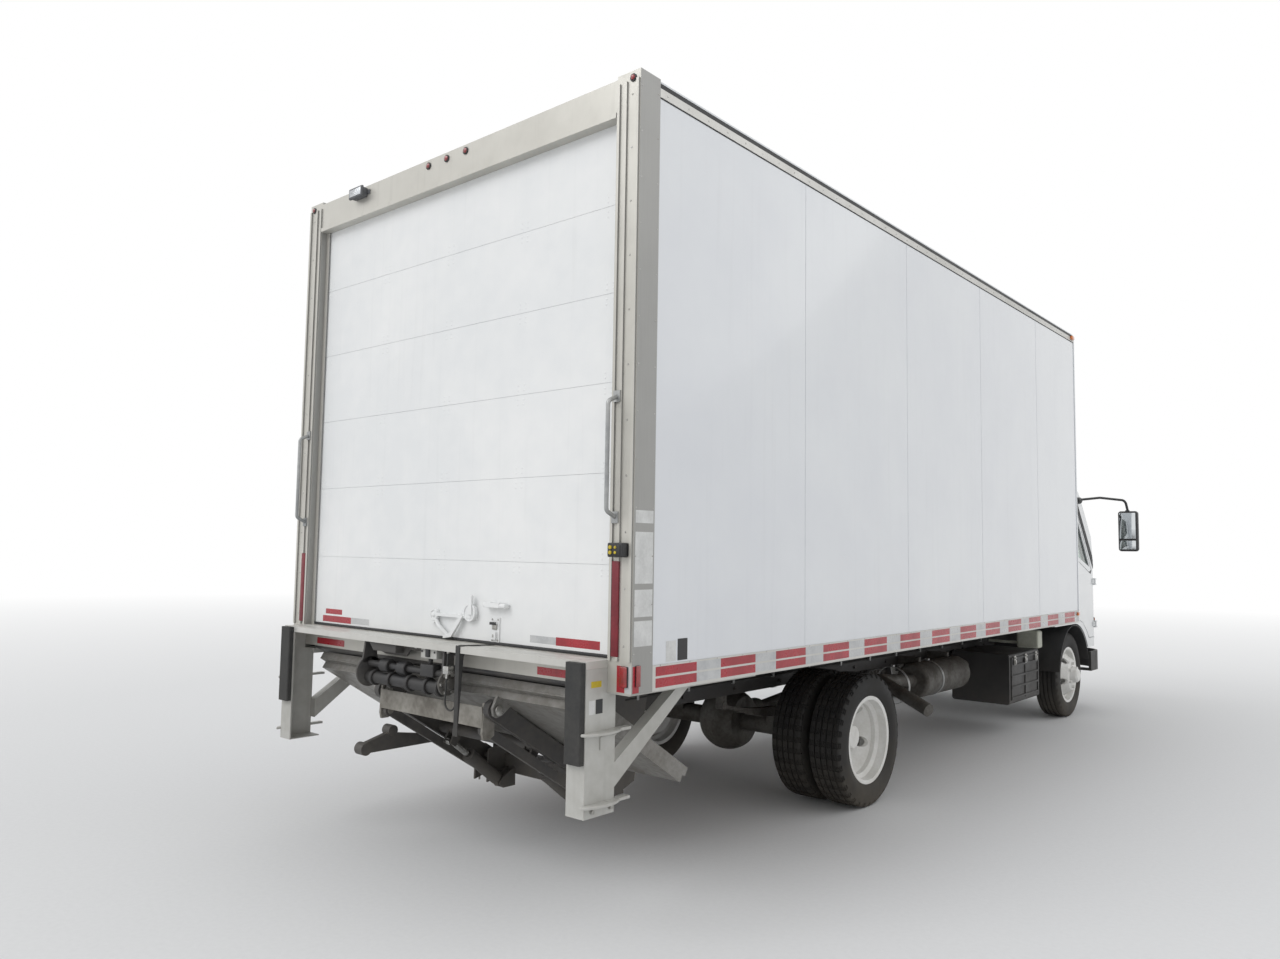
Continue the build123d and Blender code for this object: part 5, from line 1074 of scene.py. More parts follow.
    def lamps(self) -> None:
        """Domed lenses in bezels in place of the plain CAD ones, and the load lamp."""
        lens, rims, lamp, bowl, y = Shape(), Shape(), Shape(), Shape(), FRAME_Y
        for side, _ in SIDES:
            x = side * 1.259
            rims.box((x - 0.0195, y + 0.0003, 0.9885), (x + 0.0195, y + 0.007, 1.0715), 0.003)
            lens.box((x - 0.019, y + 0.006, 0.989), (x + 0.019, y + 0.0145, 1.071), 0.005, 3)
            rims.box((side * 1.2953, 3.8415, 0.9905), (side * 1.3, 3.8685, 1.0755), 0.0015)
            lens.box((side * 1.298, 3.842, 0.991), (side * 1.3035, 3.868, 1.075), 0.0024, 3)
        for x, z, radius in (
            (-0.15, 3.505, 0.014), (0.0, 3.505, 0.014), (0.15, 3.505, 0.014),
            (-1.255, 3.520, 0.012), (1.255, 3.520, 0.012),
        ):
            rims.peg((x, y, z), Axis.Y, 0.006, radius + 0.005, 28, 0.002)
            dome = [(0.004, 1.0), (0.009, 0.86), (0.012, 0.5), (0.0125, 0.0), (0.004, 0.0)]
            lens.turned([(along, radius * part) for along, part in dome], Axis.Y, (x, y, z), 24)
        lamp.box((0.704, y + 0.0003, 3.474), (0.816, y + 0.036, 3.526), 0.006, 3)
        lamp.box((0.696, y + 0.030, 3.470), (0.824, y + 0.045, 3.530), 0.005, 3)
        for x in (0.690, 0.830):
            lamp.box((x - 0.012, y, 3.488), (x + 0.012, y + 0.006, 3.512), 0.002)
        bowl.box((0.706, y + 0.0452, 3.480), (0.814, y + 0.0468, 3.520), 0.0007)
        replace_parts(lens.piece("rear_lamp_lenses", Look.RED_LENS), "rear_lamps")
        rims.piece("rear_lamp_bezels", Look.PLASTIC)
        lamp.piece("load_lamp_case", Look.TRIM)
        bowl.piece("load_lamp_face", Look.REFLECTOR)

    def latch(self) -> None:
        """Screws, bosses, leg and socket of the door's slide latch and pull handle."""
        y = DOOR_Y
        spots = [(x, y + 0.0043, 1.209) for x in (-0.200, -0.150, -0.020)]
        spots += [(x, y + 0.0063, z) for x in (-0.441, -0.401) for z in (1.112, 1.207)]
        rivet(0.0055, 0.003, Axis.Y).at(spots).piece("latch_screws", Look.BRIGHT)
        rings, staple, slot = Shape(), Shape(), Shape()
        for x, z, radius, reach in ((0.022, 1.206, 0.030, 0.020), (-0.252, 1.230, 0.044, 0.022)):
            rings.rod((x, y + 0.0003, z), (x, y + reach, z), radius * 0.92, 36, 0.004)
            rings.turned([
                (reach - 0.001, radius), (reach + 0.004, radius - 0.003),
                (reach + 0.004, radius - 0.009), (reach - 0.001, radius - 0.011),
            ], Axis.Y, (x, y, z), 36)
            rings.rod((x, y + reach - 0.002, z), (x, y + reach + 0.007, z), 0.010, 20, 0.003)
        leg = (
            (0.012, 0.014, 1.190), (-0.012, 0.020, 1.160), (-0.046, 0.020, 1.140),
            (-0.078, 0.010, 1.112),
        )
        rings.bent_bar([(x, y + out, z) for x, out, z in leg], 0.010)
        rings.box((-0.515, y + 0.0003, 1.262), (-0.360, y + 0.037, 1.284), 0.008, 3)
        rings.piece("latch_rings", Look.DOOR)
        staple.box((-0.424, y + 0.018, 1.126), (-0.416, y + 0.0205, 1.140), 0.002)
        staple.box((-0.436, y + 0.006, 1.160), (-0.404, y + 0.012, 1.186), 0.003)
        staple.piece("hasp_staple", Look.BRIGHT)
        # Painted shade: a thin dark plate stands in for the shaded opening of the staple's slot.
        slot.box((-0.440, y + 0.017, 1.183), (-0.396, y + 0.0205, 1.196), 0.001, 1)
        slot.piece("hasp_slot_shade", Look.SHADOW_SEAL)

    def bracket_details(self) -> None:
        """Pad bolts, step plates, feet and blank patches on the corner brackets."""
        bolts = hex_bolt(0.018, 0.007, Axis.Y).at((1.115, 4.0325, z) for z in (0.725, 0.885, 1.045))
        bolts.add(hex_bolt(0.016, 0.010, Axis.X).at((1.165, y, 0.500) for y in (3.86, 3.97)))
        bolts.both_sides().piece("bracket_bolts", Look.BRIGHT)
        steps = Shape()
        turns = [math.pi * index / 14 for index in range(15)]
        arc = [(1.163 + 0.052 * math.sin(turn), 3.925 - 0.114 * math.cos(turn)) for turn in turns]
        for z in (0.532, 0.812):
            steps.prism(arc, Axis.Z, z - 0.012, z - 0.001, 0.002)
        lip = [(3.830, 0.788), (3.930, 0.788), (3.930, 0.735), (3.915, 0.735)]
        steps.prism(lip, Axis.X, 1.163, 1.171, 0.001)
        steps.box((1.067, 3.836, 0.4745), (1.163, 4.012, 0.4805), 0.002, 1)
        steps.both_sides().piece("bracket_steps", Look.BRACKET)
        for name, look, start, end, low, high in (
            ("blank_yellow_patch", Look.YELLOW, 3.925, 3.985, 0.985, 1.010),
            ("blank_white_patch", Look.PLACARD, 3.962, 3.996, 0.880, 0.935),
            ("blank_dark_patch", Look.PLASTIC, 3.916, 3.956, 0.880, 0.937),
        ):
            corner, far = (self.bracket_x, start, low), (self.bracket_x + 0.0012, end, high)
            Shape().box(corner, far).piece(name, look)

    def plate_edge(self) -> None:
        """Grip strips on the extension's top and the pull strap that hangs over its edge."""
        grip, strap = Shape(), Shape()
        for y in (3.905, 3.975):
            grip.box((-1.10, y, 1.0895), (1.10, y + 0.020, 1.0912), 0.0005, 1)
        grip.piece("extension_grip_strips", Look.RAIL)
        side = [
            (3.990, 1.0915), (4.0160, 1.0915), (4.0165, 1.0880), (4.0165, 0.700),
            (4.0195, 0.700), (4.0195, 1.0900), (4.0170, 1.0945), (3.990, 1.0945),
        ]
        strap.prism(side, Axis.X, *self.strap_x, 0.0005)
        top = [*((x, 4.004) for x in self.strap_x), (-0.415, 3.862), (-0.437, 3.866)]
        strap.prism(top, Axis.Z, 1.0915, 1.0945, 0.0005)
        strap.box((-0.380, 4.0158, 0.690), (-0.344, 4.0212, 0.722), 0.002)
        strap.piece("pull_strap", Look.RUBBER)


# Liftgate
@dataclass
class Liftgate:
    """The hinge gear, hose and fittings round the stowed platform."""

    shaft_x: tuple[float, float] = (-0.225, 0.410)
    shaft_y: float = 3.962
    shaft_z: float = 0.945
    tube_y: float = 3.966
    tube_z: float = 0.880
    disc_radii: tuple[float, float] = (0.056, 0.077)
    disc_z: float = 0.905
    under_plate: float = 1.0795
    header_y: float = 3.930
    arm_pins: tuple[tuple[float, float], ...] = ((3.170, 0.370), (3.170, 0.270))
    deck_hinge: Point = (0.0, 3.860, 0.800)
    deck_run: tuple[float, float] = (0.690, 0.430)
    hose_x: tuple[float, float] = (-0.342, -0.267)
    hose_width: float = 0.0088
    hose_leg: tuple[tuple[float, float], ...] = (
        (3.9965, 1.062), (3.997, 1.010), (4.000, 0.950), (4.003, 0.890), (4.006, 0.850),
        (4.007, 0.8195),
    )
    hose_foot: tuple[Point, ...] = ((-0.320, 4.008, 0.797), (-0.289, 4.008, 0.797))

    def build(self) -> None:
        """Builds every piece of the liftgate."""
        self.hose()
        self.shade_channel_and_header()
        self.hinge_gear()
        self.switch()
        self.pins()
        self.deck()

    def hose(self) -> None:
        """The hydraulic hose that loops from its union under the extension to the valve's."""
        down, up = self.hose_x
        valve = Shape().box((-0.286, 3.976, 0.955), (-0.246, 4.0095, 0.992), 0.003)
        valve.rod((up, 4.0005, 0.956), (up, 4.0015, 0.936), 0.0075, 6)
        for x in self.hose_x:
            valve.rod((x, 3.9965, self.under_plate), (x, 3.9965, 1.050), 0.0075, 6)
        unions = valve.piece("hose_unions", Look.BRIGHT)
        first = [(down, y, z) for y, z in self.hose_leg]
        last = [(up, y, z) for y, z in reversed(self.hose_leg)]
        curve = smooth_path("gate_hose", [*first, *self.hose_foot, *last], self.hose_width / 2, 4)
        curve.materials.append(Look.RUBBER.material)
        hose = put("gate_hose", curve)
        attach(hose, ROOT)

    def shade_channel_and_header(self) -> None:
        """The dark channel under the sill, whose web closes the gap under the floor as painted
        shade, and the tapered header plate under the extension.
        """
        made, top, y = Shape(), self.under_plate, self.header_y
        channel = [
            # Painted shade: the channel's web closes the gap between sill and platform in dark
            # paint, standing in for the shade under the floor.
            (3.765, 0.918), (3.776, 0.918), (3.776, 0.968), (3.884, 0.968), (3.884, 0.9795),
            (3.765, 0.9795),
        ]
        plate = [
            (0.520, top), (0.440, 1.030), (0.300, 0.998), (0.130, 0.998), (0.100, 1.034),
            (-0.300, 1.034), (-0.330, top),
        ]
        made.prism(channel, Axis.X, -1.06, 1.06, 0.001)
        made.prism(plate, Axis.Y, y, y + 0.012, 0.001)
        block = [(0.400, top), (0.340, 1.016), (0.150, 1.016), (0.150, top)]
        made.prism(block, Axis.Y, y, y + 0.062, 0.003, 2)
        made.piece("gate_header_and_shade_channel", Look.GATE)

    def hinge_gear(self) -> None:
        """End plates with their shaft, torsion tube and collars behind the extension."""
        low, high = self.shaft_x
        y, tube, foot = self.shaft_y, self.tube_y, self.disc_z + 0.045
        plates, tubes = Shape(), Shape()
        spots = [(x, 3.942, 1.052) for x in (0.42, 0.05, -0.08, -0.27)]
        bolts = hex_bolt(0.014, 0.008, Axis.Y).at(spots)
        hub = [
            (0.0, 0.59), (0.010, 0.57), (0.014, 0.46), (0.022, 0.41), (0.026, 0.30), (0.026, 0.0),
            (0.0, 0.0),
        ]
        for x, out, radius in zip(self.shaft_x, (-1, 1), self.disc_radii):
            z, wide, top = self.disc_z, radius * 0.6, self.under_plate
            plates.rod((x - 0.006, y, z), (x + 0.006, y, z), radius, 40, 0.003)
            hanger = [(y - 0.026, top), (y + 0.026, top), (y + wide, foot), (y - wide, foot)]
            plates.prism(hanger, Axis.X, x - 0.006, x + 0.006, 0.001)
            profile = [(out * along, radius * part) for along, part in hub]
            plates.turned(profile, Axis.X, (x + out * 0.005, y, z), 32)
            bolt = hex_bolt(0.014, 0.009, Axis.X, out).at([(x + out * 0.006, y + radius * 0.78, z)])
            bolts.add(bolt.ring(6, Axis.X, (x, y, z)))
        plates.piece("gate_end_plates", Look.GATE)
        tubes.rod((low, y, self.shaft_z), (high, y, self.shaft_z), 0.017, 28)
        tubes.rod((low, tube, self.tube_z), (high, tube, self.tube_z), 0.029, 32)
        collar = self._collar(0.011, 0.003, 0.0285, 0.037, 0.040)
        for x in (-0.185, -0.09, 0.05, 0.20, 0.345):
            tubes.turned(collar, Axis.X, (x, tube, self.tube_z), 32)
        bearing = self._collar(0.034, 0.005, 0.016, 0.030, 0.034)
        for x in (0.11, 0.255):
            tubes.turned(bearing, Axis.X, (x, y, self.shaft_z), 32)
        tubes.box((-0.150, y - 0.020, 0.925), (-0.050, y + 0.030, 0.985), 0.006, 3)
        tubes.rod((-0.100, y + 0.005, 0.980), (-0.100, y + 0.005, 1.020), 0.011, 20, 0.002)
        tubes.piece("gate_shafts", Look.CHASSIS)
        bolts.piece("gate_head_bolts", Look.BRIGHT)

    @staticmethod
    def _collar(half: float, edge: float, bore: float, rim: float, radius: float) -> Outline:
        """The profile of a collar with chamfered rims."""
        left = [(-half, bore), (-half, rim), (edge - half, radius)]
        return left + [(-along, reach) for along, reach in reversed(left)]

    def switch(self) -> None:
        """The grey toggle box under the extension."""
        case = Shape().box((-0.176, 3.944, 1.012), (-0.056, 3.994, 1.078), 0.005, 3)
        case.piece("toggle_box", Look.BRACKET)
        parts = Shape().box((-0.130, 3.992, 1.020), (-0.102, 4.004, 1.070), 0.004, 3)
        for x in (-0.164, -0.068):
            parts.peg((x, 3.993, 1.045), Axis.Y, 0.005, 0.005, 16, 0.001)
        parts.piece("toggle_switch", Look.PLASTIC)

    def pins(self) -> None:
        """Heads and keepers on the lift arms' pins."""
        moving, fixed = Shape(), Shape()
        for x, length in ((0.4745, 0.006), (0.3855, -0.006)):
            moving.peg((x, *self.deck_hinge[1:]), Axis.X, length, 0.024, 28, 0.002)
        moving.both_sides().piece("arm_pin_heads", Look.BRIGHT, ARMS)
        x = 0.4655
        for y, z in self.arm_pins:
            fixed.peg((x, y, z), Axis.X, 0.008, 0.025, 28, 0.002)
            fixed.box((x, y - 0.006, z - 0.052), (x + 0.005, y + 0.006, z - 0.020), 0.001, 1)
        fixed.both_sides().piece("frame_pin_heads", Look.BRIGHT)

    def deck(self) -> None:
        """Grip studs and edge rubs on the folded platform."""
        along = Vector((0, *self.deck_run)).normalized()
        turn = Matrix((Axis.X.way, along, Axis.X.way.cross(along))).transposed().to_4x4()
        place = Matrix.Translation(self.deck_hinge) @ turn
        rows = steps_between(-0.69, 0.03, 0.07)
        spots = [(x, reach, 0.128) for x in steps_between(-0.98, 0.98, 0.07) for reach in rows]
        studs = rivet(0.006, 0.002, Axis.Z).at(spots).placed([place])
        studs.piece("deck_studs", Look.GATE_STEEL, ARMS)
        edge = Shape().box((-1.0, 0.0665, 0.094), (1.0, 0.0695, 0.120), 0.001, 1)
        for x in (-1.0305, 1.0265):
            edge.box((x, -0.71, 0.090), (x + 0.004, 0.05, 0.124), 0.001, 1)
        edge.placed([place]).piece("deck_edge_rubs", Look.GATE_STEEL, ARMS)


@dataclass
class Underbody:
    """Fittings along the chassis: tank cap, box latches, clamps, lines and rail bolts."""

    rail_x: float = 0.425
    rail_z: tuple[float, float] = (0.700, 0.835)
    rail_y: tuple[float, float] = (-2.20, 2.95)
    silencer: tuple[float, float] = (-0.600, 0.560)
    band_radius: float = 0.1352

    def build(self) -> None:
        """Builds every fitting."""
        self.tank()
        self.box_latches()
        self.clamps()
        self.lines()
        self.rail_bolts()

    def tank(self) -> None:
        """Filler cap, straps' bolts and drain of the fuel tank."""
        made = Shape()
        cap = [
            (0.0, 0.0), (0.0, 0.050), (0.004, 0.053), (0.020, 0.053), (0.026, 0.046),
            (0.026, 0.030), (0.022, 0.026), (0.022, 0.0),
        ]
        made.turned(cap, Axis.Z, (0.850, -0.730, 0.845), 40)
        made.box((0.844, -0.772, 0.868), (0.856, -0.688, 0.880), 0.003)
        for y in (-0.01, -0.66):
            made.rod((0.9365, y, 0.60), (0.944, y, 0.60), 0.009, 6)
            made.box((0.9355, y - 0.018, 0.56), (0.9395, y + 0.018, 0.64), 0.001, 1)
        made.peg((0.68, 0.190, 0.47), Axis.Y, 0.009, 0.020, 24, 0.002)
        made.piece("tank_fittings", Look.BRIGHT)

    def box_latches(self) -> None:
        """Toggle latches on the battery box."""
        made = Shape()
        for y in (-2.02, -1.75, -1.48):
            made.box((-0.966, y - 0.020, 0.612), (-0.958, y + 0.020, 0.690), 0.002)
            made.box((-0.974, y - 0.012, 0.618), (-0.965, y + 0.012, 0.655), 0.003)
            made.peg((-0.968, y - 0.018, 0.672), Axis.Y, 0.036, 0.006, 12)
        made.piece("box_latches", Look.BRIGHT)

    def clamps(self) -> None:
        """Band clamps round the silencer's ends."""
        made = Shape()
        low, high = self.band_radius, self.band_radius + 0.003
        band = [(-0.014, low), (-0.014, high), (0.014, high), (0.014, low)]
        x, z = self.silencer
        for y in (-0.52, 0.11):
            made.turned(band, Axis.Y, (x, y, z))
            made.box((x - 0.015, y - 0.012, 0.695), (x + 0.015, y + 0.012, 0.712), 0.002, 1)
        made.piece("silencer_bands", Look.ZINC)

    def lines(self) -> None:
        """Clipped brake and wiring lines along the rails, with their clips."""
        pipes, clips, x = Shape(), Shape(), self.rail_x
        low, high = self.rail_y
        for offset, z in ((0.006, 0.790), (0.006, 0.772), (0.010, 0.745)):
            stops = enumerate(steps_between(low, high, 0.60))
            path = [(x + offset, y, z + 0.0015 * (-1) ** index) for index, y in stops]
            pipes.bent_bar(path, offset * 0.7, 3, 1)
        for y in steps_between(low + 0.1, high - 0.1, 0.45):
            clips.box((x, y - 0.010, 0.732), (x + 0.019, y + 0.010, 0.800), 0.002, 1)
        pipes.both_sides().piece("rail_lines", Look.RUBBER)
        clips.both_sides().piece("rail_clips", Look.ZINC)

    def rail_bolts(self) -> None:
        """Rows of flanged bolts on the frame rails."""
        stops = steps_between(*self.rail_y, 0.515)
        spots = [(self.rail_x, y, z) for y in stops for z in self.rail_z]
        bolts = hex_bolt(0.018, 0.011, Axis.X).at(spots)
        bolts.both_sides().piece("rail_bolts", Look.CHASSIS)


# Wheels
@dataclass
class Tyre:
    """A truck tyre with grooved tread, turned about its own axle line."""

    radius: float = 0.400
    half_width: float = 0.113
    bead_radius: float = 0.2643
    groove_depth: float = 0.011
    groove_width: float = 0.009
    ribs: int = 5
    pitches: int = 72
    slotted: bool = False

    def _profile(self) -> Outline:
        """The section from bead to bead over the tread, closed through the inner wall."""
        half, bead, top = self.half_width, self.bead_radius, self.radius
        crown = half - 0.022
        outer = [
            (half - 0.023, bead), (half - 0.015, bead + 0.004), (half - 0.012, bead + 0.012),
            (half - 0.0035, bead + 0.030), (half - 0.0005, top - 0.085),
            (half - 0.0005, top - 0.070), (half - 0.004, top - 0.045), (half - 0.010, top - 0.026),
            (half - 0.014, top - 0.012), (crown, top - 0.003),
        ]
        tread = []
        rib = (2 * crown - (self.ribs - 1) * self.groove_width) / self.ribs
        groove = top - self.groove_depth
        for index in range(self.ribs):
            left = crown - index * (rib + self.groove_width)
            drop = 0.002 if index in (0, self.ribs - 1) else 0.0
            if index:
                tread += [(left, groove), (left - 0.0005, top - drop)]
            tread.append((left - rib / 2, top - drop * 0.4))
            if index < self.ribs - 1:
                tread += [(left - rib + 0.0005, top - drop), (left - rib, groove)]
        inner = [(-along, radius) for along, radius in reversed(outer)]
        lining = [
            (0.03 - half, bead + 0.02), (0.02 - half, top - 0.06), (0.01 - crown, top - 0.022),
        ]
        lining += [(-along, radius) for along, radius in reversed(lining)]
        return outer + tread + inner + lining

    def shape(self, centre: Point) -> Shape:
        """The tyre with its axle through centre, its shoulders and ribs cut by cross slots."""
        made = Shape().turned(self._profile(), Axis.X, centre, self.pitches)
        middle = Vector(centre)
        chosen = []
        for face in made.mesh.faces:
            out = face.calc_center_median() - middle
            reach = math.hypot(out.y, out.z)
            turn = round((math.atan2(out.z, out.y) % math.tau) / (math.tau / self.pitches) - 0.5)
            on_tread = self.slotted and reach > self.radius - 0.007 and abs(face.normal.x) < 0.35
            on_shoulder = abs(out.x) > self.half_width - 0.024 and reach > self.radius - 0.022
            if turn % 2 == 0 and (on_tread or on_shoulder):
                chosen.append(face)
        depth = -0.006 if self.slotted else -0.003
        bmesh.ops.inset_individual(made.mesh, faces=chosen, thickness=0.0035, depth=depth)
        return made


@dataclass
class Wheels:
    """Tyres with tread for all six wheels, in place of the CAD rings."""

    front: Point = (0.865, -2.970, 0.400)
    rear: Point = (0.825, 1.370, 0.400)
    pair_shift: float = 0.130
    crease: float = 25.0

    def build(self) -> None:
        """Builds one front tyre and a rear pair on each side."""
        for side, name in SIDES:
            x, y, z = self.front
            steer = Tyre().shape((side * x, y, z))
            steer = steer.piece(f"steer_tyre_{name}", Look.TYRE, f"front_wheel_{name}", self.crease)
            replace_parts(steer, f"front_tyre_{name}")
            x, y, z = self.rear
            pair = Tyre(slotted=True).shape((side * (x - self.pair_shift), y, z))
            pair.add(Tyre(slotted=True).shape((side * (x + self.pair_shift), y, z)))
            drive = pair.piece(f"drive_tyres_{name}", Look.TYRE, f"rear_wheels_{name}", self.crease)
            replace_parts(drive, f"rear_tyres_{name}")


# Cab
@dataclass
class Cab:
    """Window surrounds, lamps, handles, wipers, mirrors and inside trim of the cab."""

    nodes: Mapping[str, bpy.types.Object]
    half_width: float = 1.030
    marker: tuple[float, float] = (-3.732, 0.905)
    corner_lamp: tuple[float, float] = (-3.760, 0.715)
    pull_z: float = 1.30
    wiper_pivots: tuple[float, ...] = (-0.80, -0.24, 0.32)
    blade_length: float = 0.50
    dials: tuple[float, float] = (0.51, 0.69)

    def __post_init__(self) -> None:
        """Gathers the skins that the pieces on the cab's front and sides lie on."""
        self.front = self._skin("cab_shell", "cab_pan", "cab_glass", "grille", "headlamps")
        self.sides = self._skin("cab_shell", "cab_pan")

    def _skin(self, *names: str) -> BVHTree:
        """The surface of some of the cab's CAD nodes."""
        return surface_of([self.nodes[name] for name in names])

    def build(self) -> None:
        """Builds every piece of the cab."""
        self.windows()
        self.windshield_band()
        self.pillar_covers()
        self.wipers()
        self.lamps()
        self.side_lamps()
        self.doors()
        self.mirror_details()
        self.dashboard_details()

    def windows(self) -> None:
        """Black frames round the door windows."""
        outer = [
            (-2.640, 1.500), (-2.640, 2.125), (-3.300, 2.138), (-3.575, 1.405), (-3.530, 1.370),
            (-3.165, 1.500),
        ]
        inner = [
            (-2.690, 1.550), (-2.690, 2.080), (-3.272, 2.093), (-3.522, 1.446), (-3.172, 1.550),
            (-3.100, 1.550),
        ]
        for side, name in SIDES:
            frame = frame_ring(outer, inner, Axis.X, 0.0015)
            frame.cling(self._skin(f"cab_door_{name}", f"door_glass_{name}"), Axis.X, side)
            frame.piece(f"window_frame_{name}", Look.SHADOW_SEAL, f"door_{name}")

    def pillar_covers(self) -> None:
        """Black covers on the front pillars beside the door windows."""
        pillar = [(-3.334, 2.095), (-3.410, 2.095), (-3.732, 1.425), (-3.640, 1.425)]
        for side, name in SIDES:
            cover = Shape().prism(pillar, Axis.X, 0.0, 0.003).cut(15)
            cover.cling(self._skin("cab_shell"), Axis.X, side, 0.001)
            cover.piece(f"pillar_cover_{name}", Look.SHADOW_SEAL, CAB)

    def windshield_band(self) -> None:
        """The black band round the windshield."""
        outer = [(-0.935, 1.372), (0.935, 1.372), (0.850, 2.165), (-0.850, 2.165)]
        inner = [(-0.872, 1.440), (0.872, 1.440), (0.802, 2.105), (-0.802, 2.105)]
        band = frame_ring(outer, inner, Axis.Y, 0.0015, 24)
        band.cling(self.front, Axis.Y, -1).piece("windshield_band", Look.SHADOW_SEAL, CAB)

    def wipers(self) -> None:
        """Three wipers parked along the windshield's foot."""
        made = Shape()
        for x in self.wiper_pivots:
            made.peg((x, 0.0, 1.345), Axis.Y, 0.016, 0.016, 20, 0.003)
            arm = [
                (x + along, rise, 1.350 + 0.20 * along)
                for along, rise in ((0.0, 0.016), (0.10, 0.020), (0.26, 0.016))
            ]
            made.bent_bar(arm, 0.005, 8, 1)
            for place in steps_between(x - 0.02, x + self.blade_length - 0.03, 0.03):
                made.box((place, 0.001, 1.398), (place + 0.030, 0.011, 1.408), 0.001, 1)
        made.cling(self.front, Axis.Y, -1).piece("windshield_wipers", Look.PLASTIC, CAB)

    def lamps(self) -> None:
        """Reflector bowls, amber corners and bezels of the front lamps."""
        bowls, amber = Shape(), Shape()
        bowl = [
            (0.0, 0.060), (0.020, 0.055), (0.045, 0.040), (0.055, 0.018), (0.055, 0.0),
            (0.051, 0.0), (0.051, 0.017), (0.041, 0.037), (0.018, 0.051), (0.0, 0.056),
        ]
        for x in (0.640, 0.775):
            bowls.turned(bowl, Axis.Y, (x, -3.905, 0.880), 32)
            bowls.peg((x, -3.880, 0.880), Axis.Y, 0.025, 0.012, 16, 0.003)
        outer = [(0.552, 0.767), (0.928, 0.767), (0.928, 0.993), (0.552, 0.993)]
        inner = [(0.572, 0.787), (0.908, 0.787), (0.908, 0.973), (0.572, 0.973)]
        bezel = frame_ring(outer, inner, Axis.Y, 0.003)
        for z in (0.805, 0.955):
            amber.box((0.835, 0.0, z - 0.022), (0.900, 0.004, z + 0.022), 0.001)
        bowls.both_sides().piece("headlamp_bowls", Look.REFLECTOR, CAB)
        for lamp, name, look in (
            (amber, "front_turn_lamps", Look.AMBER_LENS), (bezel, "headlamp_bezels", Look.PLASTIC),
        ):
            lamp.both_sides().cling(self.front, Axis.Y, -1).piece(name, look, CAB)

    def side_lamps(self) -> None:
        """The marker and the corner lamp on each side, lying on the cab's skin."""
        y, z = self.marker
        dome = [
            (0.0, 0.030), (0.008, 0.030), (0.014, 0.022), (0.018, 0.010), (0.0185, 0.0), (0.0, 0.0),
        ]
        for side, name in SIDES:
            base, lens, lamp = Shape(), Shape(), Shape()
            base.box((0.0, y - 0.046, z - 0.022), (0.008, y + 0.046, z + 0.022), 0.003).cut(2)
            lens.box((0.004, y - 0.039, z - 0.015), (0.015, y + 0.039, z + 0.015), 0.004, 3).cut(2)
            lamp.turned(dome, Axis.X, (0.0, *self.corner_lamp), 28)
            for part, title, look in (
                (base, "side_marker_base", Look.PLASTIC),
                (lens, "side_marker_lens", Look.AMBER_LENS),
                (lamp, "corner_lamp", Look.REFLECTOR),
            ):
                part.cling(self.sides, Axis.X, side).piece(f"{title}_{name}", look, CAB)

    def doors(self) -> None:
        """Each door's handle with its cup and lock, and its lining with the arm rest."""
        bow = ((0.0, -2.70), (0.030, -2.715), (0.034, -2.78), (0.030, -2.845), (0.0, -2.86))
        for side, name in SIDES:
            x, z, body = side * self.half_width, self.pull_z, f"door_{name}"
            grip = Shape().bent_bar([(x + side * out, y, z) for out, y in bow], 0.009)
            grip.box((x, -2.875, z - 0.032), (x + side * 0.003, -2.685, z + 0.032), 0.0012)
            grip.peg((x, -2.66, z), Axis.X, side * 0.004, 0.012, 20, 0.001)
            grip.piece(f"door_pull_{name}", Look.PLASTIC, body)
            inner = Shape().box((side * 0.962, -3.30, 1.02), (side * 0.982, -2.68, 1.30), 0.008, 3)
            inner.box((side * 0.925, -3.20, 1.225), (side * 0.970, -2.80, 1.265), 0.012, 3)
            inner.peg((side * 0.965, -3.28, 1.16), Axis.X, side * -0.030, 0.014, 20, 0.003)
            inner.piece(f"door_lining_{name}", Look.TRIM, body)

    def mirror_details(self) -> None:
        """Mirror glasses and the covers at both ends of the mirrors' arms."""
        glass, cover = Shape(), Shape()
        for side, _ in SIDES:
            for low, high in ((1.735, 2.000), (1.625, 1.715)):
                glass.box((side * 1.232, -3.8605, low), (side * 1.383, -3.8575, high), 0.0012)
            x, y, z = side * 0.955, -3.415, 2.115
            cover.rod((x, y - 0.045, z), (x, y + 0.050, z), 0.036, 28, 0.010, 0.028)
            cover.peg((side * 1.302, -3.898, 2.030), Axis.Z, -0.022, 0.021, 24, 0.004)
        glass.piece("mirror_glasses", Look.MIRROR, CAB)
        cover.piece("mirror_covers", Look.PLASTIC, CAB)

    def dashboard_details(self) -> None:
        """Instrument hood, blank dials, vents, knobs, stalks and pedals."""
        dark, bright, trim = Shape(), Shape(), Shape()
        hood = [
            (-3.470, 1.335), (-3.480, 1.425), (-3.540, 1.452), (-3.680, 1.420), (-3.680, 1.380),
            (-3.520, 1.385),
        ]
        trim.prism(hood, Axis.X, 0.40, 0.80, 0.008, 3)
        for x in self.dials:
            dark.rod((x, -3.476, 1.372), (x, -3.466, 1.376), 0.042, 32, 0.002)
            bright.rod((x, -3.4665, 1.3758), (x, -3.4655, 1.3762), 0.034, 32)
        for x in (-0.82, -0.45, 0.30, 0.90):
            dark.box((x - 0.060, -3.468, 1.270), (x + 0.060, -3.458, 1.318), 0.003)
            for z in steps_between(1.278, 1.310, 0.008):
                dark.box((x - 0.052, -3.460, z - 0.0012), (x + 0.052, -3.4525, z + 0.0012))
        dark.box((-0.09, -3.468, 1.215), (0.09, -3.458, 1.265), 0.002)
        for x in (-0.135, 0.135):
            for z in (1.225, 1.255):
                dark.peg((x, -3.460, z), Axis.Y, 0.016, 0.011, 20, 0.002)
        dark.box((-0.80, -3.464, 1.205), (-0.42, -3.458, 1.209))
        dark.box((-0.28, -3.660, 1.3965), (0.28, -3.620, 1.4005), 0.001, 1)
        for side, _ in SIDES:
            start, end = (0.600 + side * 0.02, -3.30, 1.405), (0.600 + side * 0.145, -3.275, 1.432)
            dark.rod(start, end, 0.007, 12, 0.002)
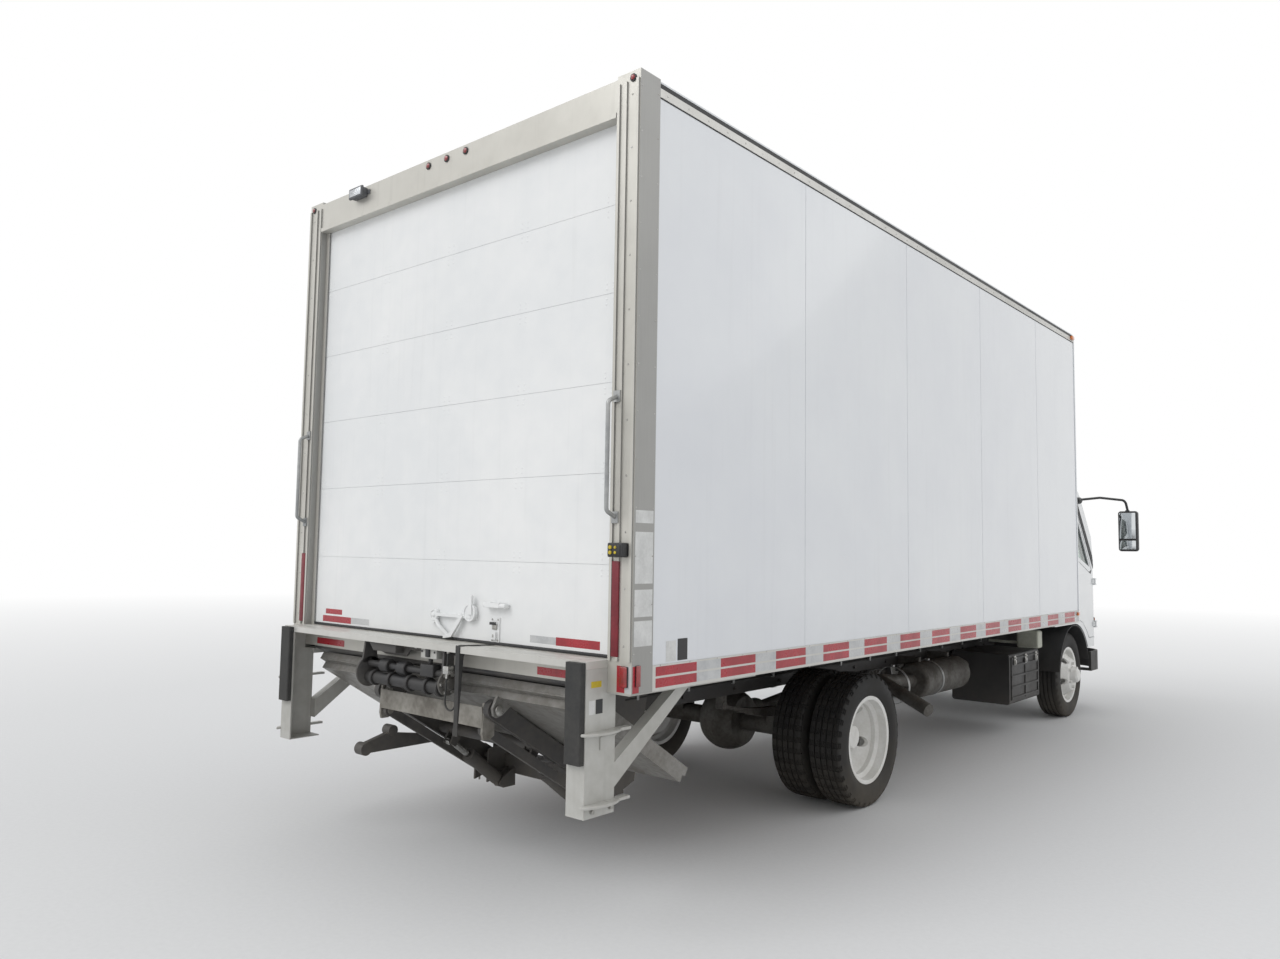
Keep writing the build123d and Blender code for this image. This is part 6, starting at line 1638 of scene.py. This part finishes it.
        lever = ((-3.42, 1.24), (-3.36, 1.25), (-3.33, 1.33), (-3.31, 1.37))
        dark.bent_bar([(0.30, y, z) for y, z in lever], 0.009)
        dark.rod((0.30, -3.315, 1.36), (0.30, -3.300, 1.41), 0.019, 20, 0.006, 0.022)
        pedal = ((-3.595, 0.93), (-3.62, 1.02), (-3.66, 1.12), (-3.68, 1.20))
        for x, width in ((0.50, 0.035), (0.62, 0.045), (0.75, 0.026)):
            dark.box((x - width, -3.600, 0.880), (x + width, -3.588, 0.960), 0.004)
            dark.bent_bar([(x, y, z) for y, z in pedal], 0.008)
        trim.piece("instrument_hood", Look.TRIM, CAB)
        dark.piece("dashboard_fittings", Look.PLASTIC, CAB)
        bright.piece("blank_dials", Look.BRACKET, CAB)


@dataclass
class Seats:
    """The cab's two seats: padded cushions, backs and headrests on hard bases."""

    middle: float = 0.695
    width: float = 0.415
    floor: float = 0.9605
    cushion: tuple[float, float] = (1.128, 1.262)
    front_y: float = -3.035
    rear_y: float = -2.512
    lean: float = 10.2
    voxel: float = 0.012
    swell: float = 0.014
    frames: int = 20
    pressure: float = 4.0
    seam_depth: float = 0.011

    def build(self) -> None:
        """Builds both seats in place of the CAD node."""
        pads = [pad for side, name in SIDES for pad in self._seat(side, name)]
        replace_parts(pads[0], "cab_seats")

    def _pad(
        self, name: str, size: Point, place: Matrix, channels: Sequence[float]
    ) -> bpy.types.Object:
        """One pad: a crowned cover blown up by cloth pressure, with sewn channels across it.

        Args:
            name: the piece's name.
            size: width, length and thickness, before it swells.
            place: puts the pad, lying flat about the origin, where it belongs.
            channels: places along the length where the cover is sewn down.

        Returns:
            The finished pad.
        """
        half = [value / 2 - self.swell * 0.6 for value in size]
        shape = Shape().box([-value for value in half], half, min(half[2] * 0.7, 0.03), 4)
        bmesh.ops.triangulate(shape.mesh, faces=list(shape.mesh.faces))
        pad = shape.piece(name, Look.SEAT, CAB, 180.0)
        remesh = pad.modifiers.new("even_skin", "REMESH")
        remesh.mode = "VOXEL"
        remesh.voxel_size = self.voxel
        self._apply(pad)
        start = [vert.co.copy() for vert in pad.data.vertices]
        self._blow_up(pad)
        for vert, before in zip(pad.data.vertices, start):
            move = vert.co - before
            if move.length > self.swell:
                vert.co = before + move.normalized() * self.swell
            seams = (math.exp(-(((vert.co.y - line) / self.seam_depth) ** 2)) for line in channels)
            inner = min(1.0, max(0.0, (half[0] - abs(vert.co.x)) / 0.03))
            if vert.co.z > 0:
                vert.co.z -= self.seam_depth * max(seams, default=0.0) * inner
        smooth = pad.modifiers.new("soft_cover", "SUBSURF")
        smooth.levels = smooth.render_levels = 1
        self._apply(pad)
        pad.data.transform(place)
        pad.data.shade_smooth()
        return pad

    def _blow_up(self, pad: bpy.types.Object) -> None:
        """Swells a pad's cover by a short cloth simulation under pressure."""
        cloth = pad.modifiers.new("cover", "CLOTH")
        cloth.settings.use_pressure = True
        cloth.settings.uniform_pressure_force = self.pressure
        cloth.settings.effector_weights.gravity = 0.0
        cloth.settings.quality = 4
        cloth.point_cache.frame_end = self.frames
        for frame in range(1, self.frames + 1):
            bpy.context.scene.frame_set(frame)
        self._apply(pad)
        bpy.context.scene.frame_set(1)

    @staticmethod
    def _apply(piece: bpy.types.Object) -> None:
        """Turns a piece's modifiers into its mesh."""
        bpy.context.view_layer.update()
        shaped = piece.evaluated_get(bpy.context.evaluated_depsgraph_get())
        mesh = bpy.data.meshes.new_from_object(shaped)
        piece.modifiers.clear()
        old, piece.data = piece.data, mesh
        mesh.name = piece.name
        bpy.data.meshes.remove(old)

    def _seat(self, side: int, name: str) -> list[bpy.types.Object]:
        """One seat's pads and base."""
        x, wide, front, rear = side * self.middle, self.width, self.front_y, self.rear_y
        low, high = self.cushion
        flat = Matrix.Translation((x, (front + rear) / 2, (low + high) / 2 + 0.006))
        upright = Matrix.Rotation(math.radians(90 - self.lean), 4, "X")
        back = Matrix.Translation((x, -2.555, 1.565)) @ upright
        head = Matrix.Translation((x, -2.478, 1.935)) @ upright
        pads = [
            self._pad(f"seat_{part}_{name}", size, place, channels)
            for part, size, place, channels, fill in (
                ("cushion", (wide, rear - front, high - low), flat, (-0.16, -0.02, 0.12), 0.7),
                ("back", (wide, 0.570, 0.105), back, (-0.19, -0.04, 0.11), 0.7),
                ("headrest", (0.230, 0.150, 0.075), head, (), 0.8),
            )
        ]
        base, floor = Shape(), self.floor
        base.box((x - 0.180, front + 0.045, floor), (x + 0.180, rear + 0.060, 1.100), 0.015, 3)
        base.box((x - 0.200, front + 0.015, 1.096), (x + 0.200, rear + 0.010, 1.136), 0.010, 3)
        for hand, _ in SIDES:
            rail, post = x + hand * 0.150, x + hand * 0.055
            base.box((rail - 0.018, front + 0.01, floor), (rail + 0.018, rear + 0.09, 0.985), 0.003)
            base.rod((post, -2.500, 1.830), (post, -2.486, 1.900), 0.006, 12)
        base.peg((x - side * 0.200, rear + 0.005, 1.150), Axis.X, side * -0.014, 0.032, 28, 0.005)
        buckle = x + side * 0.186
        base.box((buckle - 0.006, rear - 0.08, 1.06), (buckle + 0.014, rear - 0.02, 1.12), 0.004)
        base.piece(f"seat_base_{name}", Look.TRIM, CAB)
        return pads


# Studio
@dataclass
class Studio:
    """Plain pale floor, soft light and the camera."""

    floor_size: float = 60.0
    floor_fade: tuple[float, float] = (7.0, 26.0)
    world_level: float = 0.72
    suns: tuple[tuple[str, float, float, Point], ...] = (
        ("key", 1.1, 40.0, (-0.35, -0.85, -0.75)), ("fill", 0.35, 60.0, (0.7, 0.5, -0.6)),
    )
    camera_place: Point = (-3.767, 6.741, 1.536)
    camera_ahead: Point = (0.6489, -0.7571, 0.0757)
    camera_right: Point = (-0.7599, -0.6498, 0.0154)
    lens: float = 26.32
    film_width: float = 36.0
    far_clip: float = 200.0

    def build(self) -> None:
        """Sets up floor, light and camera."""
        self.floor()
        self.light()
        self.camera()
        bpy.context.scene.view_settings.view_transform = "Standard"

    def floor(self) -> None:
        """A pale floor that fades to the white background far from the truck."""
        mesh = bpy.data.meshes.new("studio_floor")
        plane = bmesh.new()
        bmesh.ops.create_grid(plane, x_segments=1, y_segments=1, size=self.floor_size)
        plane.to_mesh(mesh)
        plane.free()
        material, w, shader = principled("pale_floor")
        colour = w.mixed(w.noise(40.0, 4.0), shade((214, 215, 216)), shade((222, 223, 224)))
        w.feed(shader, {"Base Color": colour, "Roughness": 0.8})
        away = w.node("VectorMath", {0: w.place()}, operation="LENGTH").outputs["Value"]
        seen = w.node("LightPath").outputs
        direct = w.math("MAXIMUM", seen["Is Camera Ray"], seen["Is Glossy Ray"])
        glow = w.node("Emission", {"Color": WHITE, "Strength": 1.0})
        fade = w.product(w.remap(away, *self.floor_fade), direct)
        mix = w.node("MixShader", {0: fade, 1: shader.outputs[0], 2: glow.outputs[0]})
        w.feed(material.node_tree.nodes["Material Output"], {"Surface": mix.outputs[0]})
        mesh.materials.append(material)
        put("studio_floor", mesh)

    def light(self) -> None:
        """An even white sky, with a soft key from behind and a weaker fill."""
        world = bpy.data.worlds.new("studio")
        bpy.context.scene.world = world
        world.use_nodes = True
        w = Wiring(world.node_tree)
        world.node_tree.nodes.clear()
        rays = w.node("LightPath").outputs
        direct = w.math("MAXIMUM", rays["Is Camera Ray"], rays["Is Glossy Ray"])
        shown = w.math("MAXIMUM", direct, rays["Is Transmission Ray"])
        level = w.remap(shown, 0.0, 1.0, self.world_level, 1.0)
        sky = w.node("Background", {"Color": WHITE, "Strength": level})
        w.node("OutputWorld", {"Surface": sky.outputs[0]})
        for name, energy, spread, towards in self.suns:
            lamp = bpy.data.lights.new(name, "SUN")
            lamp.energy = energy
            lamp.angle = math.radians(spread)
            put(name, lamp).rotation_euler = Vector(towards).to_track_quat("-Z", "Y").to_euler()

    def camera(self) -> None:
        """The camera at the photograph's angle."""
        eye = bpy.data.cameras.new("camera")
        eye.sensor_width = self.film_width
        eye.lens = self.lens
        eye.clip_end = self.far_clip
        ahead = Vector(self.camera_ahead).normalized()
        right = Vector(self.camera_right)
        right = (right - ahead * right.dot(ahead)).normalized()
        turn = Matrix((right, right.cross(ahead), -ahead)).transposed().to_4x4()
        holder = put("camera", eye)
        holder.matrix_world = Matrix.Translation(self.camera_place) @ turn
        bpy.context.scene.camera = holder


def main() -> None:
    logging.basicConfig(level=logging.INFO, format="%(message)s")
    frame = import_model()
    dress_cad(frame["nodes"])
    for part in (
        Studio(), Liftgate(), LoadBody(), RearEnd(), Underbody(), Wheels(), Cab(frame["nodes"]),
        Seats(),
    ):
        LOG.info("building %s", type(part).__name__)
        part.build()


if __name__ == "__main__":
    main()
